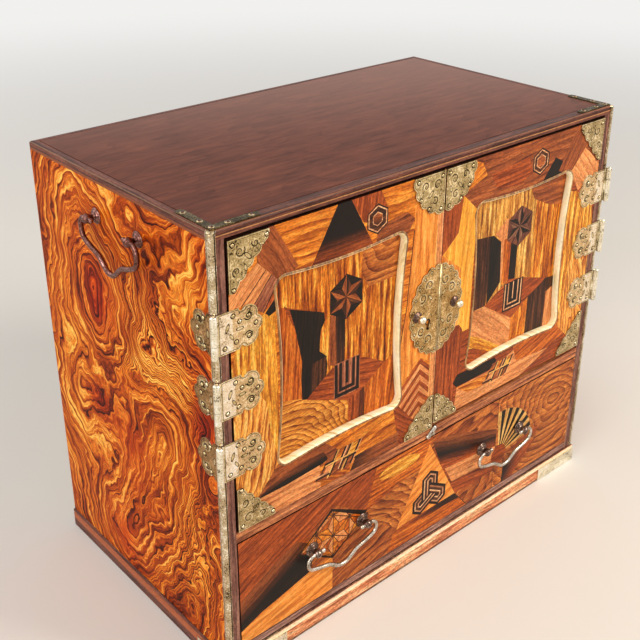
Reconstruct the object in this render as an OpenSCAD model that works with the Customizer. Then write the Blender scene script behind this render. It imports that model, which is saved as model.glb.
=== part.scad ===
// Small tansu chest: a table cabinet with two hinged doors over one long drawer.
// Origin at the middle of the footprint on the floor, front towards -Y, +Z up. Millimetres.

/* [Case] */
// Width over the side panels
case_w = 410; // [370:5:460]
// Depth from the door faces to the back
case_d = 230; // [200:5:280]
// Height from the floor to the top
case_h = 356; // [340:2:400]
// Thickness of each side panel and width of each stile
side_t = 10; // [8:0.5:12]
// Thickness of the top
top_t = 6.5; // [6:0.5:10]
// Thickness of the back panel
back_t = 5; // [4:0.5:8]
// Depth of the face frame from front to back
lip_d = 5; // [4:0.5:7]
// How far the face frame stands back from the door faces
frame_back = 0.4; // [0.3:0.1:1]
// Height of the base board
base_t = 7.4; // [6:0.2:10]
// Height of the drawer's opening
drawer_open_h = 94.9; // [80:1:105]
// Height of the divider between drawer and cupboard
divider_t = 9; // [8.5:0.5:12]
// Height of the shelf above the divider
shelf_up = 66; // [40:2:70]
// Thickness of the shelf
shelf_t = 6; // [5:0.5:9]
// Thickness and height of the cleats under the shelf
cleat_t = 8; // [6:1:12]

/* [Top edge] */
// Width of the moulding along the front of the top
top_front_w = 10; // [8:0.5:14]
// Width of the moulding along the sides and back of the top
top_side_w = 6; // [5:0.5:9]
// Radius of the rounded outer edge
top_edge_r = 2; // [1:0.25:3]
// Width and depth of the dark quirk beside the moulding
quirk = 0.8; // [0.4:0.1:1.2]

/* [Plinth] */
// Height of the plinth
plinth_h = 17; // [14:0.5:22]
// Thickness of the plinth boards
plinth_t = 12; // [11.5:0.5:16]
// How far the plinth stands out at the front and sides
plinth_out = 1.5; // [1:0.1:2.5]
// Height of the rounded nosing on the plinth
nosing_h = 3.5; // [2.5:0.25:5]

/* [Metal mounts] */
// Thickness of the sheet on the front of the doors
plate_t = 1; // [0.7:0.1:1.4]
// Thickness of the corner strips, top straps and plinth caps
strip_t = 0.8; // [0.5:0.1:1]
// Width of each leg of the corner strips
strip_w = 5.5; // [5:0.25:7]
// Length of each leg of the top straps
strap_len = 39; // [28:1:45]
// Width of the top straps
strap_w = 6; // [5:0.5:8]
// Length of the plinth caps along the front
cap_front = 54; // [30:2:70]
// Length of the plinth caps along the side
cap_side = 40; // [25:1:50]
// Half width of the lock plate
lock_half_w = 29; // [24:1:32]
// Half height of the lock plate
lock_half_h = 38; // [32:1:42]
// How far the lock plate's middle lies left of the meeting line
lock_shift = 3; // [0:0.5:5]
// Height of the lock plate's middle above the door's bottom
lock_up = 108; // [100:1:116]
// Radius of the mounts at the top and bottom of the meeting line
meet_r = 33; // [26:1:36]
// Length of the corner plates along the door's top and bottom
corner_w = 34; // [26:1:36]
// Length of the corner plates up the door's edge
corner_h = 38; // [28:1:42]

/* [Hinges] */
// Height of each hinge
hinge_h = 29; // [24:1:34]
// Gap between the outer hinges and the corner plates
hinge_gap = 8.8; // [6:0.2:11]
// Reach of a leaf over the door, from the pin
door_leaf_w = 38.5; // [34:0.5:42]
// Reach of a leaf over the side, from the pin
case_leaf_w = 27; // [24:0.5:31]
// Thickness of the leaves
leaf_t = 1; // [0.8:0.1:1.2]
// Radius of the knuckles
knuckle_r = 2.4; // [2.1:0.1:2.6]
// Radius of the hinge pins
hinge_pin_r = 1.2; // [0.9:0.1:1.4]
// How far the pins stand out from the corner, both ways
pin_out = 2; // [1.8:0.1:2.5]

/* [Doors] */
// Thickness of the doors
door_t = 12; // [10:0.5:14]
// Gap beside each door at the stile
door_side_gap = 1.5; // [1.2:0.1:2.5]
// Gap above the doors
door_top_gap = 2; // [1:0.25:3]
// Gap below the left door
left_door_gap = 0.6; // [0.4:0.1:2]
// Gap below the right door
right_door_gap = 4; // [0.4:0.1:5]
// Gap between the two doors
meeting_gap = 1.6; // [1.5:0.1:2.4]
// Distance from the door's edges to the lining of the sunk panel
bead_margin = 36; // [35:0.5:42]
// Width of the lining's lip
bead_w = 1.8; // [1.4:0.2:3]
// Depth of the sunk panel below the door's face
panel_deep = 4.5; // [3:0.5:6]
// Radius of the panel's corners, at the middle of the lip
bead_corner_r = 9; // [6:0.5:12]
// Radius of the hollow sides of the panel
bead_side_r = 480; // [400:20:700]

/* [Knobs] */
// How far the knobs stand out from the lock plate
knob_len = 10; // [8:0.5:13]
// Radius of the knob's ball
knob_r = 3; // [2.4:0.2:3.6]
// Distance of the left knob from the meeting line
left_knob_in = 24; // [18:0.5:25]
// Distance of the right knob from the meeting line
right_knob_in = 17; // [14:0.5:25]

/* [Drawer] */
// Gap around the drawer front
drawer_gap = 0.8; // [0.5:0.1:1.2]
// Thickness of the drawer front
drawer_front_t = 12; // [10:0.5:15]
// Thickness of the drawer sides and back
drawer_side_t = 8; // [6:0.5:10]
// Thickness of the drawer bottom
drawer_bottom_t = 5; // [4:0.5:7]
// Height of the drawer sides and back
drawer_side_h = 80; // [60:1:88]
// Free space behind the drawer, filled by two stop blocks
stop_d = 14; // [8:1:24]

/* [Pulls on the drawer] */
// Middle of the left pull, from the middle of the chest
left_pull_x = -101; // [-120:1:-80]
// Middle of the right pull, from the middle of the chest
right_pull_x = 92; // [80:1:120]
// Height of the pull posts above the drawer's bottom edge
pull_up = 51; // [40:1:60]
// Half the distance between the posts
pull_half = 25.5; // [20:0.5:30]
// Drop of the bail below its posts
pull_drop = 24; // [18:0.5:28]
// Radius of the bail's rod
pull_rod_r = 2; // [1.6:0.1:2.4]

/* [Bails on the sides] */
// Height of the side bail's posts above the floor
bail_z = 324.5; // [300:0.5:330]
// Middle of the side bail, in front of the middle of the side
bail_fwd = 5; // [-10:1:10]
// Half the distance between the posts
bail_half = 27; // [22:0.5:32]
// Drop of the side bail below its posts
bail_drop = 33; // [24:0.5:38]
// Radius of the side bail's rod
bail_rod_r = 2.3; // [1.8:0.1:2.6]

/* [Turn button] */
// Length of the turn button
button_len = 13.5; // [11:0.5:13.5]
// Width of the turn button
button_w = 4.4; // [3.8:0.1:4.6]
// Lean of the button from upright
button_lean = 50; // [48:1:60]

/* [Lock] */
// Width of the lock case
lock_case_w = 36; // [28:1:44]
// Height of the lock case
lock_case_h = 42; // [34:1:50]
// Depth of the lock case behind the door
lock_case_t = 7; // [5:0.5:9]

/* [Fits] */
// Radial play of a pin in its bore
pin_play = 0.05; // [0.02:0.01:0.09]
// Gap between knuckles
knuckle_gap = 0.2; // [0.15:0.05:0.4]
// Gap between a moving piece and its guide
slide_play = 0.3; // [0.2:0.05:0.6]

/* [Hidden] */
$fn = 48;

// Colours
plum = "#6b3a30";
burl = "#b5622c";
rosewood = "#7a3b2b";
honey = "#c8803c";
pine = "#c9a26b";
bronze = "#8a7a58";
pale_metal = "#c9bfa0";
steel = "#b9b6ad";
copper = "#6e4436";

// Where the main planes lie
knob_reach = plate_t + knob_len;
face_y = (knob_reach - case_d) / 2;         // doors and drawer front
back_y = face_y + case_d;
frame_y = face_y + frame_back;              // front of the face frame
carcass_y = frame_y + lip_d;                // front of the boards behind the frame
inner_back_y = back_y - back_t;
mid_y = (face_y + back_y) / 2;
half_w = case_w / 2;
inner_w = half_w - side_t;
floor_z = plinth_h + base_t;                // the drawer's runner
divider_z = floor_z + drawer_open_h;
cupboard_z = divider_z + divider_t;
ceiling_z = case_h - top_t;
shelf_z = cupboard_z + shelf_up;

// Doors
door_edge = inner_w - door_side_gap;
door_free = meeting_gap / 2;
door_top = ceiling_z - door_top_gap;
left_door_z = cupboard_z + left_door_gap;
right_door_z = cupboard_z + right_door_gap;
door_mid_x = (door_edge + door_free) / 2;
lock_z = left_door_z + lock_up;
lock_lobes = 22;                            // lobes round the lock plate
keyhole_r = 1.7;
lobe_depth = 0.06;                          // depth of a lobe, as a share of the radius

// Hinges
pin_x = half_w + pin_out;
pin_y = face_y - pin_out;
hinge_z = (left_door_z + door_top) / 2;
hinge_pitch = (door_top - left_door_z - hinge_h) / 2 - corner_h - hinge_gap;
bore_r = hinge_pin_r + pin_play;
knuckle_h = (hinge_h - 2 * knuckle_gap) / 3;

// Pulls and bails
post_r = 3.6;                               // ball of a post
post_pin_r = 1.4;                           // pivot of a bail
post_bore_r = post_pin_r + pin_play;
pull_out = 6.5;                             // pivot in front of the drawer
bail_out = 7.5;                             // pivot off the side panel
drawer_z = floor_z + drawer_gap;
drawer_top = divider_z - drawer_gap;
pull_z = drawer_z + pull_up;
drawer_end = inner_back_y - stop_d;

// A board between two corners, given as [low, high] on each axis
module board(x, y, z)
  translate([x[0], y[0], z[0]]) cube([x[1] - x[0], y[1] - y[0], z[1] - z[0]]);

// A flat shape drawn in X and Z, standing on plane y and reaching t towards the front
module on_front(y, t) translate([0, y, 0]) rotate([90, 0, 0]) linear_extrude(t) children();

module both_sides() { children(); mirror([1, 0, 0]) children(); }

// ---- top ----
// Section of the top's edge: u runs inwards from the outside, v runs up
module edge_section(w) difference() {
  square([w, top_t]);
  difference() {
    translate([-1, top_t - top_edge_r]) square(top_edge_r + 1);
    translate([top_edge_r, top_t - top_edge_r]) circle(top_edge_r);
    translate([-2, top_t - top_edge_r - 1]) square([1, top_edge_r + 2]);
  }
  translate([-1, top_t]) square([w + 2, 1]);
  translate([w - quirk, top_t - quirk]) square(quirk + 1);
}

module top_panel() color(plum)
  board([-half_w + top_side_w, half_w - top_side_w], [frame_y + top_front_w, back_y - top_side_w],
    [ceiling_z, case_h]);

// The mitres run from the outer corners to the corners of the top panel
module top_moulding_front() color(rosewood) intersection() {
  translate([-half_w, frame_y, ceiling_z]) rotate([90, 0, 90]) linear_extrude(case_w)
    edge_section(top_front_w);
  translate([0, 0, ceiling_z - 1]) linear_extrude(top_t + 2) polygon([[-half_w, frame_y],
    [half_w, frame_y], [half_w - top_side_w, frame_y + top_front_w],
    [-half_w + top_side_w, frame_y + top_front_w]]);
}

module top_moulding_back() color(rosewood) intersection() {
  translate([-half_w, back_y, ceiling_z]) mirror([0, 1, 0]) rotate([90, 0, 90])
    linear_extrude(case_w) edge_section(top_side_w);
  translate([0, 0, ceiling_z - 1]) linear_extrude(top_t + 2) polygon([[-half_w, back_y],
    [half_w, back_y], [half_w - top_side_w, back_y - top_side_w],
    [-half_w + top_side_w, back_y - top_side_w]]);
}

module top_moulding_sides() color(rosewood) both_sides() intersection() {
  translate([-half_w, back_y, ceiling_z]) rotate([90, 0, 0]) linear_extrude(back_y - frame_y)
    edge_section(top_side_w);
  translate([0, 0, ceiling_z - 1]) linear_extrude(top_t + 2) polygon([[-half_w, frame_y],
    [-half_w + top_side_w, frame_y + top_front_w], [-half_w + top_side_w, back_y - top_side_w],
    [-half_w, back_y]]);
}

// ---- case ----
// Side panel with a rabbet for the back panel
module side_panel() difference() {
  board([-half_w, -inner_w], [carcass_y, back_y], [plinth_h, ceiling_z]);
  board([-half_w + side_t / 2, -inner_w + 1], [inner_back_y, back_y + 1],
    [plinth_h - 1, ceiling_z + 1]);
}

module back_panel() color(pine)
  board([-half_w + side_t / 2, half_w - side_t / 2], [inner_back_y, back_y],
    [plinth_h, ceiling_z]);

module base_board() color(pine)
  board([-inner_w, inner_w], [carcass_y, inner_back_y], [plinth_h, floor_z]);

module divider_board() color(pine)
  board([-inner_w, inner_w], [carcass_y, inner_back_y], [divider_z, cupboard_z]);

module stiles() color(rosewood) both_sides()
  board([-half_w, -inner_w], [frame_y, carcass_y], [plinth_h, ceiling_z]);

module divider_rail() color(rosewood)
  board([-inner_w, inner_w], [frame_y, carcass_y], [divider_z, cupboard_z]);

// The base rail has a rounded upper front edge
module base_rail() color(rosewood)
  translate([-inner_w, frame_y, plinth_h]) rotate([90, 0, 90]) linear_extrude(2 * inner_w)
    union() {
      square([lip_d, base_t - top_edge_r]);
      translate([top_edge_r, 0]) square([lip_d - top_edge_r, base_t]);
      translate([top_edge_r, base_t - top_edge_r]) circle(top_edge_r);
    }

// The shelf's front edge stops the doors
module shelf() color(pine)
  board([-inner_w, inner_w], [face_y + door_t + slide_play, inner_back_y],
    [shelf_z, shelf_z + shelf_t]);

module shelf_cleats() color(pine) both_sides()
  board([-inner_w, -inner_w + cleat_t], [face_y + 2 * door_t, inner_back_y],
    [shelf_z - cleat_t, shelf_z]);

module drawer_stops() color(pine) both_sides()
  board([-inner_w + 2 * side_t, -inner_w + 5 * side_t], [drawer_end + slide_play, inner_back_y],
    [floor_z, floor_z + 2 * base_t]);

// ---- plinth ----
// Section of the plinth: u runs inwards from its outer face, v runs up
module plinth_section() difference() {
  square([plinth_t, plinth_h]);
  difference() {
    translate([-1, plinth_h - plinth_out]) square(plinth_out + 1);
    translate([plinth_out, plinth_h - plinth_out]) circle(plinth_out);
  }
  translate([0, plinth_h - nosing_h]) rotate(45) square(0.9, center = true);
}

plinth_w = half_w + plinth_out;
plinth_y = frame_y - plinth_out;

module plinth_front() color(rosewood) intersection() {
  translate([-plinth_w, plinth_y, 0]) rotate([90, 0, 90]) linear_extrude(2 * plinth_w)
    plinth_section();
  linear_extrude(plinth_h) polygon([[-plinth_w, plinth_y], [plinth_w, plinth_y],
    [plinth_w - plinth_t, plinth_y + plinth_t], [-plinth_w + plinth_t, plinth_y + plinth_t]]);
}

module plinth_sides() color(rosewood) both_sides() intersection() {
  translate([-plinth_w, back_y, 0]) rotate([90, 0, 0]) linear_extrude(back_y - plinth_y)
    plinth_section();
  linear_extrude(plinth_h) polygon([[-plinth_w, plinth_y],
    [-plinth_w + plinth_t, plinth_y + plinth_t], [-plinth_w + plinth_t, back_y],
    [-plinth_w, back_y]]);
}

module plinth_back() color(rosewood)
  board([-plinth_w + plinth_t, plinth_w - plinth_t], [back_y - plinth_t, back_y], [0, plinth_h]);

// Folded sheet round a front corner, covering the plinth's flat face
module plinth_caps() color(pale_metal) both_sides() {
  x = plinth_w + strip_t;
  top = plinth_h - nosing_h - 0.7;
  difference() {
    board([-x, -x + cap_front], [plinth_y - strip_t, plinth_y + cap_side], [0.4, top]);
    board([-plinth_w, x], [plinth_y, back_y], [-1, plinth_h]);
  }
}

// ---- metal on the case ----
// Section of a corner strip: two legs and a round outer edge
module strip_section() difference() {
  union() {
    translate([2 * strip_t, 2 * strip_t]) circle(2 * strip_t);
    translate([2 * strip_t, 0]) square([strip_w - strip_t, strip_w + strip_t]);
    translate([0, 2 * strip_t]) square([strip_w + strip_t, strip_w - strip_t]);
  }
  translate([strip_t, strip_t]) square(strip_w + 1);
}

// The corner strip is cut where the hinges cross it
module corner_strips() difference() {
  translate([-half_w - strip_t, frame_y - strip_t, plinth_h + 0.3])
    linear_extrude(case_h - top_edge_r - plinth_h - 0.3) strip_section();
  for (i = [-1:1])
    board([-half_w - 2, 0], [frame_y - 2, mid_y],
      [for (s = [-0.5, 0.5]) hinge_z + i * hinge_pitch + s * (hinge_h + 1.6)]);
}

// L-shaped strap with round ends on the top's front corners
module top_straps() color(bronze) both_sides()
  translate([-half_w + top_edge_r, frame_y + top_edge_r, case_h]) linear_extrude(strip_t)
    union() {
      square([strap_len - strap_w / 2, strap_w]);
      translate([strap_len - strap_w / 2, strap_w / 2]) circle(strap_w / 2);
      square([strap_w, strap_len - strap_w / 2]);
      translate([strap_w / 2, strap_len - strap_w / 2]) circle(strap_w / 2);
    }

// ---- hinges ----
// Outline of a leaf: u runs from the pin over a notched waist to a butterfly end of three lobes
module leaf_outline(w) {
  side_lobe = hinge_h / 4;
  mid_lobe = hinge_h / 5;
  difference() {
    translate([0, -hinge_h / 2]) square([w - 1.5 * side_lobe, hinge_h]);
    for (s = [-1, 1]) translate([w - 2.2 * side_lobe, s * hinge_h / 2]) circle(side_lobe / 3);
  }
  for (s = [-1, 1]) translate([w - 1.5 * side_lobe, s * (hinge_h / 2 - side_lobe)])
    circle(side_lobe);
  translate([w - mid_lobe, 0]) circle(mid_lobe);
}

// One leaf in its own plane: the pin lies along v at u = 0, pin_out behind the front face
// of the wood. The knuckles named by own are kept, and the leaf stays clear of the others.
module leaf(w, own) difference() {
  union() {
    difference() {
      translate([0, 0, -pin_out]) linear_extrude(leaf_t) leaf_outline(w);
      for (k = [-1:1]) if (len(search(k, own)) == 0)
        translate([-1, (k - 0.5) * (knuckle_h + knuckle_gap), -pin_out - 1])
          cube([knuckle_r + 1.3, knuckle_h + knuckle_gap, leaf_t + 2]);
    }
    for (k = own) translate([0, k * (knuckle_h + knuckle_gap) - knuckle_h / 2, 0])
      rotate([-90, 0, 0]) cylinder(r = knuckle_r, h = knuckle_h);
  }
  translate([0, -hinge_h, 0]) rotate([-90, 0, 0]) cylinder(r = bore_r, h = 2 * hinge_h);
}

function hinge_at(i) = hinge_z + (2 - i) * hinge_pitch;

// Door leaf lies on the left door: u towards +X, its wood face behind it
module door_leaf(i) color(bronze) translate([-pin_x, pin_y, hinge_at(i)]) rotate([90, 0, 0])
  leaf(door_leaf_w, [0]);

// Case leaf lies on the left side: u towards +Y
module case_leaf(i) color(bronze) translate([-pin_x, pin_y, hinge_at(i)]) rotate([90, 0, 90])
  mirror([0, 0, 1]) leaf(case_leaf_w, [-1, 1]);

module hinge_pins() color(bronze) for (i = [1:3]) translate([-pin_x, pin_y, hinge_at(i)]) {
  translate([0, 0, -hinge_h / 2 - 1]) cylinder(r = hinge_pin_r, h = hinge_h + 2);
  for (s = [0, 1]) mirror([0, 0, s]) translate([0, 0, hinge_h / 2 + 0.1]) rotate_extrude()
    intersection() {
      translate([0, -1.6]) circle(2.8);
      square([knuckle_r, 3]);
    }
}

// ---- doors ----
// The keyhole goes through the plate, the door and the lock case
module keyhole_bore() translate([-left_knob_in / 2, face_y + 1, lock_z - 8]) rotate([-90, 0, 0])
  translate([0, 0, -2]) cylinder(r = keyhole_r, h = door_t + lock_case_t);

module door_left() color(honey) difference() {
  board([-door_edge, -door_free], [face_y, face_y + door_t], [left_door_z, door_top]);
  keyhole_bore();
  panel_sinking();
}

module door_right() color(honey) difference() {
  board([door_free, door_edge], [face_y, face_y + door_t], [right_door_z, door_top]);
  mirror([1, 0, 0]) panel_sinking();
}

// Points of an arc about c from angle a to angle b, its end left to the next arc
function arc(c, r, a, b, n) = [for (i = [0:n - 1]) let (t = a + (b - a) * i / n)
  c + r * [cos(t), sin(t)]];

// Unit vectors that point out of a closed path at each of its points
function outward(path) = [for (i = [0:len(path) - 1]) let (
  d = path[(i + 1) % len(path)] - path[(i + len(path) - 1) % len(path)])
  [d[1], -d[0]] / norm(d)];

// Outline of the sunk panel about its middle, with round corners and hollow sides. Each
// hollow side is an arc that touches the corner arcs from outside, so it runs on smoothly.
function panel_path() = let (
    cx = door_mid_x - door_free - bead_margin - bead_corner_r,
    cz = (door_top - left_door_z) / 2 - bead_margin - bead_corner_r,
    reach = bead_side_r + bead_corner_r,
    side_x = cx + sqrt(reach * reach - cz * cz),
    side_z = cz + sqrt(reach * reach - cx * cx),
    a = asin(cz / reach),
    b = asin(cx / reach))
  concat(
    arc([cx, cz], bead_corner_r, -a, 90 + b, 9), arc([0, side_z], bead_side_r, 270 + b, 270 - b, 6),
    arc([-cx, cz], bead_corner_r, 90 - b, 180 + a, 9), arc([-side_x, 0], bead_side_r, a, -a, 6),
    arc([-cx, -cz], bead_corner_r, 180 - a, 270 + b, 9),
    arc([0, -side_z], bead_side_r, 90 + b, 90 - b, 6),
    arc([cx, -cz], bead_corner_r, 270 - b, 360 + a, 9),
    arc([side_x, 0], bead_side_r, 180 + a, 180 - a, 6));

panel_place = [-door_mid_x, face_y, (left_door_z + door_top) / 2];

// Pocket for the sunk panel, up to the outer side of its lining
module panel_sinking() {
  path = panel_path();
  out = outward(path);
  translate(panel_place) rotate([90, 0, 0]) translate([0, 0, -panel_deep])
    linear_extrude(panel_deep + 1) polygon([for (i = [0:len(path) - 1])
      path[i] + out[i] * bead_w / 2]);
}

// Lining of the sunk panel: a low lip on the door's face and a round wall down to the panel
module bead_panel() {
  path = panel_path();
  out = outward(path);
  n = len(path);
  lip = bead_w / 2;
  section = concat([[lip, -panel_deep], [lip, 0.1], [lip / 2, 0.6], [-lip / 2, 0.6]],
    [for (t = [10, 35, 62, 90]) [-lip - 1.6 * sin(t), panel_deep * (cos(t) - 1)]]);
  k = len(section);
  rings = [for (i = [0:n - 1], p = section) let (q = path[i] + out[i] * p[0]) [q[0], q[1], p[1]]];
  translate(panel_place) rotate([90, 0, 0]) polyhedron(rings,
    [for (i = [0:n - 1], j = [0:k - 1]) let (q = (j + 1) % k, h = (i + 1) % n)
      [i * k + j, i * k + q, h * k + q, h * k + j]]);
}

// Points of a lobed outline from angle a to angle b: the radius dips between the lobes,
// and waist draws the middle of a corner plate in
function lobed(rx, rz, a, b, lobes, waist = 0) = [for (i = [0:lobes * 6])
  let (t = a + (b - a) * i / (lobes * 6),
    dip = 1 - lobe_depth * (1 - abs(sin(180 * lobes * (t - a) / (b - a)))),
    k = dip * (1 - waist * abs(sin(2 * t))))
  [rx * k * cos(t), rz * k * sin(t)]];

// Lock plate: an oval with lobes all round, its part on the left (-1) or right (1) door
module lock_half(side) on_front(face_y, plate_t) translate([0, lock_z]) intersection() {
  translate([-lock_shift, 0]) polygon(lobed(lock_half_w, lock_half_h, 0, 360, lock_lobes));
  translate([side * (door_free + lock_half_w), 0]) square([2 * lock_half_w, 4 * lock_half_h],
    center = true);
}

module lock_plate_left() color(bronze) difference() {
  lock_half(-1);
  on_front(face_y + 1, plate_t + 2) translate([-left_knob_in / 2, lock_z - 8]) {
    circle(keyhole_r);
    translate([-keyhole_r / 2, -3 * keyhole_r]) square([keyhole_r, 3 * keyhole_r]);
  }
}

module lock_plate_right() color(bronze) lock_half(1);

// Quarter-round lobed mounts at the meeting line and plates on the outer corners. low_r is
// the reach of the lower mount.
module door_mounts(z_low, low_r) {
  on_front(face_y, plate_t) {
    translate([-door_free, door_top]) polygon(concat([[0, 0]],
      lobed(meet_r, meet_r, 180, 270, 5)));
    translate([-door_free, z_low]) polygon(concat([[0, 0]],
      lobed(low_r, low_r, 90, 180, 5, 0.16)));
    translate([-door_edge, door_top]) polygon(concat([[0, 0]],
      lobed(corner_w, corner_h, 270, 360, 5, 0.24)));
    translate([-door_edge, z_low]) polygon(concat([[0, 0]],
      lobed(corner_w, corner_h, 0, 90, 5, 0.24)));
  }
}

// Turned knob with a collar on the plate, a neck and a ball
module knob(x) translate([x, face_y - plate_t, lock_z]) rotate([90, 0, 0]) rotate_extrude() {
  square([4.6, 1]);
  square([3.2, 1.8]);
  square([1.3, knob_len - knob_r]);
  translate([0, knob_len - knob_r]) intersection() {
    circle(knob_r);
    translate([0, -knob_r]) square([knob_r, 2 * knob_r]);
  }
}

// Lock case behind the left door, with its bolt drawn back flush with the case
module lock_case() color(steel) difference() {
  board([-lock_case_w - 4, -4], [face_y + door_t, face_y + door_t + lock_case_t],
    [lock_z - lock_case_h / 2, lock_z + lock_case_h / 2]);
  keyhole_bore();
}

module lock_keeper() color(steel)
  board([4, 12], [face_y + door_t, face_y + door_t + lock_case_t - 2],
    [lock_z - lock_case_h / 3, lock_z + lock_case_h / 3]);

// ---- drawer ----
drawer_out = inner_w - slide_play - drawer_gap;  // outer face of the drawer sides
drawer_back_y = drawer_end - drawer_side_t;
box_y = face_y + drawer_front_t;
bottom_z = drawer_z + 3;

module drawer_front() color(honey)
  board([-inner_w + drawer_gap, inner_w - drawer_gap], [face_y, box_y], [drawer_z, drawer_top]);

module drawer_sides() color(pine) both_sides()
  board([-drawer_out, -drawer_out + drawer_side_t], [box_y, drawer_end],
    [floor_z + slide_play, drawer_z + drawer_side_h]);

module drawer_back() color(pine)
  board([-drawer_out + drawer_side_t, drawer_out - drawer_side_t], [drawer_back_y, drawer_end],
    [bottom_z, drawer_z + drawer_side_h]);

module drawer_bottom() color(pine)
  board([-drawer_out + drawer_side_t, drawer_out - drawer_side_t], [box_y, drawer_back_y],
    [bottom_z, bottom_z + drawer_bottom_t]);

// ---- pulls and bails ----
// A post: rosette on the wood, stem and a ball bored along v. out is the bore's height.
module post(out) difference() {
  union() {
    rotate_extrude() {
      square([post_r * 5 / 3, post_r * 2 / 9]);
      square([post_r * 7 / 6, post_r * 5 / 12]);
      square([post_r * 5 / 9, out]);
    }
    translate([0, 0, out]) sphere(post_r);
  }
  translate([0, 2 * post_r, out]) rotate([90, 0, 0]) cylinder(r = post_bore_r, h = 4 * post_r);
}

// Control points of half a bail, from its pivot outwards and down to the middle.
// u is the distance from the middle, v the height over the pivot.
function bail_points(half, drop) = [
  [half + 4.2, 0], [half + 6.8, -drop * 0.04], [half + 9.5, -drop * 0.2],
  [half + 7.5, -drop * 0.46],
  [half - 1, -drop * 0.6], [half * 0.55, -drop * 0.72], [half * 0.22, -drop * 0.95],
  [0, -drop]];

// Catmull-Rom curve through points p, s steps in each span
function spline(p, s) = let (n = len(p)) concat([for (i = [0:n - 2], j = [0:s - 1])
  let (a = p[max(i - 1, 0)], b = p[i], c = p[i + 1], d = p[min(i + 2, n - 1)], t = j / s)
  0.5 * (2 * b + (c - a) * t + (2 * a - 5 * b + 4 * c - d) * t * t
    + (3 * b - a - 3 * c + d) * t * t * t)], [p[n - 1]]);

// Tube of radius r round a flat path in X and Z
module tube(path, r, sides) {
  n = len(path);
  rings = [for (i = [0:n - 1]) let (
      d = path[min(i + 1, n - 1)] - path[max(i - 1, 0)],
      m = [-d[1], d[0]] / norm(d))
    for (k = [0:sides - 1]) let (a = 360 * k / sides)
      [path[i][0] + r * cos(a) * m[0], r * sin(a), path[i][1] + r * cos(a) * m[1]]];
  walls = [for (i = [0:n - 2], k = [0:sides - 1]) let (q = (k + 1) % sides)
    [i * sides + k, i * sides + q, (i + 1) * sides + q, (i + 1) * sides + k]];
  polyhedron(rings, concat([[for (k = [sides - 1:-1:0]) k]], walls,
    [[for (k = [0:sides - 1]) (n - 1) * sides + k]]));
}

// A bail in X and Z with its pivots at height 0: the rod, the pins through the posts
// and the small balls that keep them there
module bail(half, drop, r) {
  halfway = bail_points(half, drop);
  all = concat([for (i = [0:len(halfway) - 2]) [-halfway[i][0], halfway[i][1]]],
    [for (i = [len(halfway) - 1:-1:0]) halfway[i]]);
  tube(spline(all, 3), r, 8);
  for (s = [0, 1]) mirror([s, 0, 0]) {
    translate([half - post_r - 1.4, 0, 0]) rotate([0, 90, 0])
      cylinder(r = post_pin_r, h = 2 * post_r + 3);
    translate([half - post_r - 2, 0, 0]) sphere(1.9);
  }
}

module pull_posts() color(copper) for (x = [left_pull_x, right_pull_x], s = [-1, 1])
  translate([x + s * pull_half, face_y, pull_z]) rotate([90, 0, 0]) rotate([0, 0, 90])
    post(pull_out);

module pull(x) color(steel) translate([x, face_y - pull_out, pull_z])
  bail(pull_half, pull_drop, pull_rod_r);

module bail_posts() color(copper) both_sides() for (s = [-1, 1])
  translate([-half_w, mid_y - bail_fwd + s * bail_half, bail_z]) rotate([0, -90, 0])
    post(bail_out);

module side_bail() color(copper) translate([-half_w - bail_out, mid_y - bail_fwd, bail_z])
  rotate([0, 0, 90]) bail(bail_half, bail_drop, bail_rod_r);

// ---- turn button on the divider rail ----
button_z = divider_z + divider_t / 2;
button_y = frame_y - 0.3;
button_r = button_w / 2;

// Half-round bar with round ends, leaning from upright about its screw
module turn_button() color(steel) translate([0, button_y, button_z]) rotate([90, 0, 0])
  rotate([0, 0, -button_lean]) difference() {
    intersection() {
      union() {
        rotate([90, 0, 0]) cylinder(r = button_r, h = button_len - button_w, center = true);
        for (s = [-1, 1]) translate([0, s * (button_len - button_w) / 2, 0]) sphere(button_r);
      }
      translate([0, 0, button_w / 2]) cube([button_w + 1, button_len + 1, button_w], center = true);
    }
    translate([0, 0, -1]) cylinder(r = 1 + pin_play, h = button_w + 2);
  }

module turn_screw() color(steel) translate([0, frame_y, button_z]) rotate([90, 0, 0]) {
  cylinder(r = 1, h = button_r + 0.6);
  translate([0, 0, button_r + 0.5]) cylinder(r = 1.6, h = 0.7);
}

top_panel();
top_moulding_front();
top_moulding_sides();
top_moulding_back();
color(burl) side_panel();  // side_left
color(burl) mirror([1, 0, 0]) side_panel();  // side_right
back_panel();
base_board();
divider_board();
stiles();
divider_rail();
base_rail();
shelf();
shelf_cleats();
drawer_stops();
plinth_front();
plinth_sides();
plinth_back();
plinth_caps();
color(pale_metal) corner_strips();  // corner_strips_left
color(pale_metal) mirror([1, 0, 0])  // corner_strips_right
  corner_strips();
top_straps();
for (i = [1:3]) {
  case_leaf(i);
  mirror([1, 0, 0]) case_leaf(i);
  door_leaf(i);
  mirror([1, 0, 0]) door_leaf(i);
}
hinge_pins();  // hinge_pins_left
mirror([1, 0, 0]) hinge_pins();  // hinge_pins_right
door_left();
door_right();
color(pale_metal) bead_panel();  // bead_left
color(pale_metal) mirror([1, 0, 0])  // bead_right
  bead_panel();
lock_plate_left();
lock_plate_right();
color(bronze)  // mounts_left
  door_mounts(left_door_z, meet_r);
color(bronze) mirror([1, 0, 0])  // mounts_right
  door_mounts(right_door_z, 0.85 * meet_r);
color(steel) knob(-left_knob_in);  // knob_left
color(steel) knob(right_knob_in);  // knob_right
lock_case();
lock_keeper();
drawer_front();
drawer_sides();
drawer_back();
drawer_bottom();
pull_posts();
pull(left_pull_x);  // pull_left
pull(right_pull_x);  // pull_right
bail_posts();
side_bail();  // bail_left
mirror([1, 0, 0]) side_bail();  // bail_right
turn_button();
turn_screw();
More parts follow.
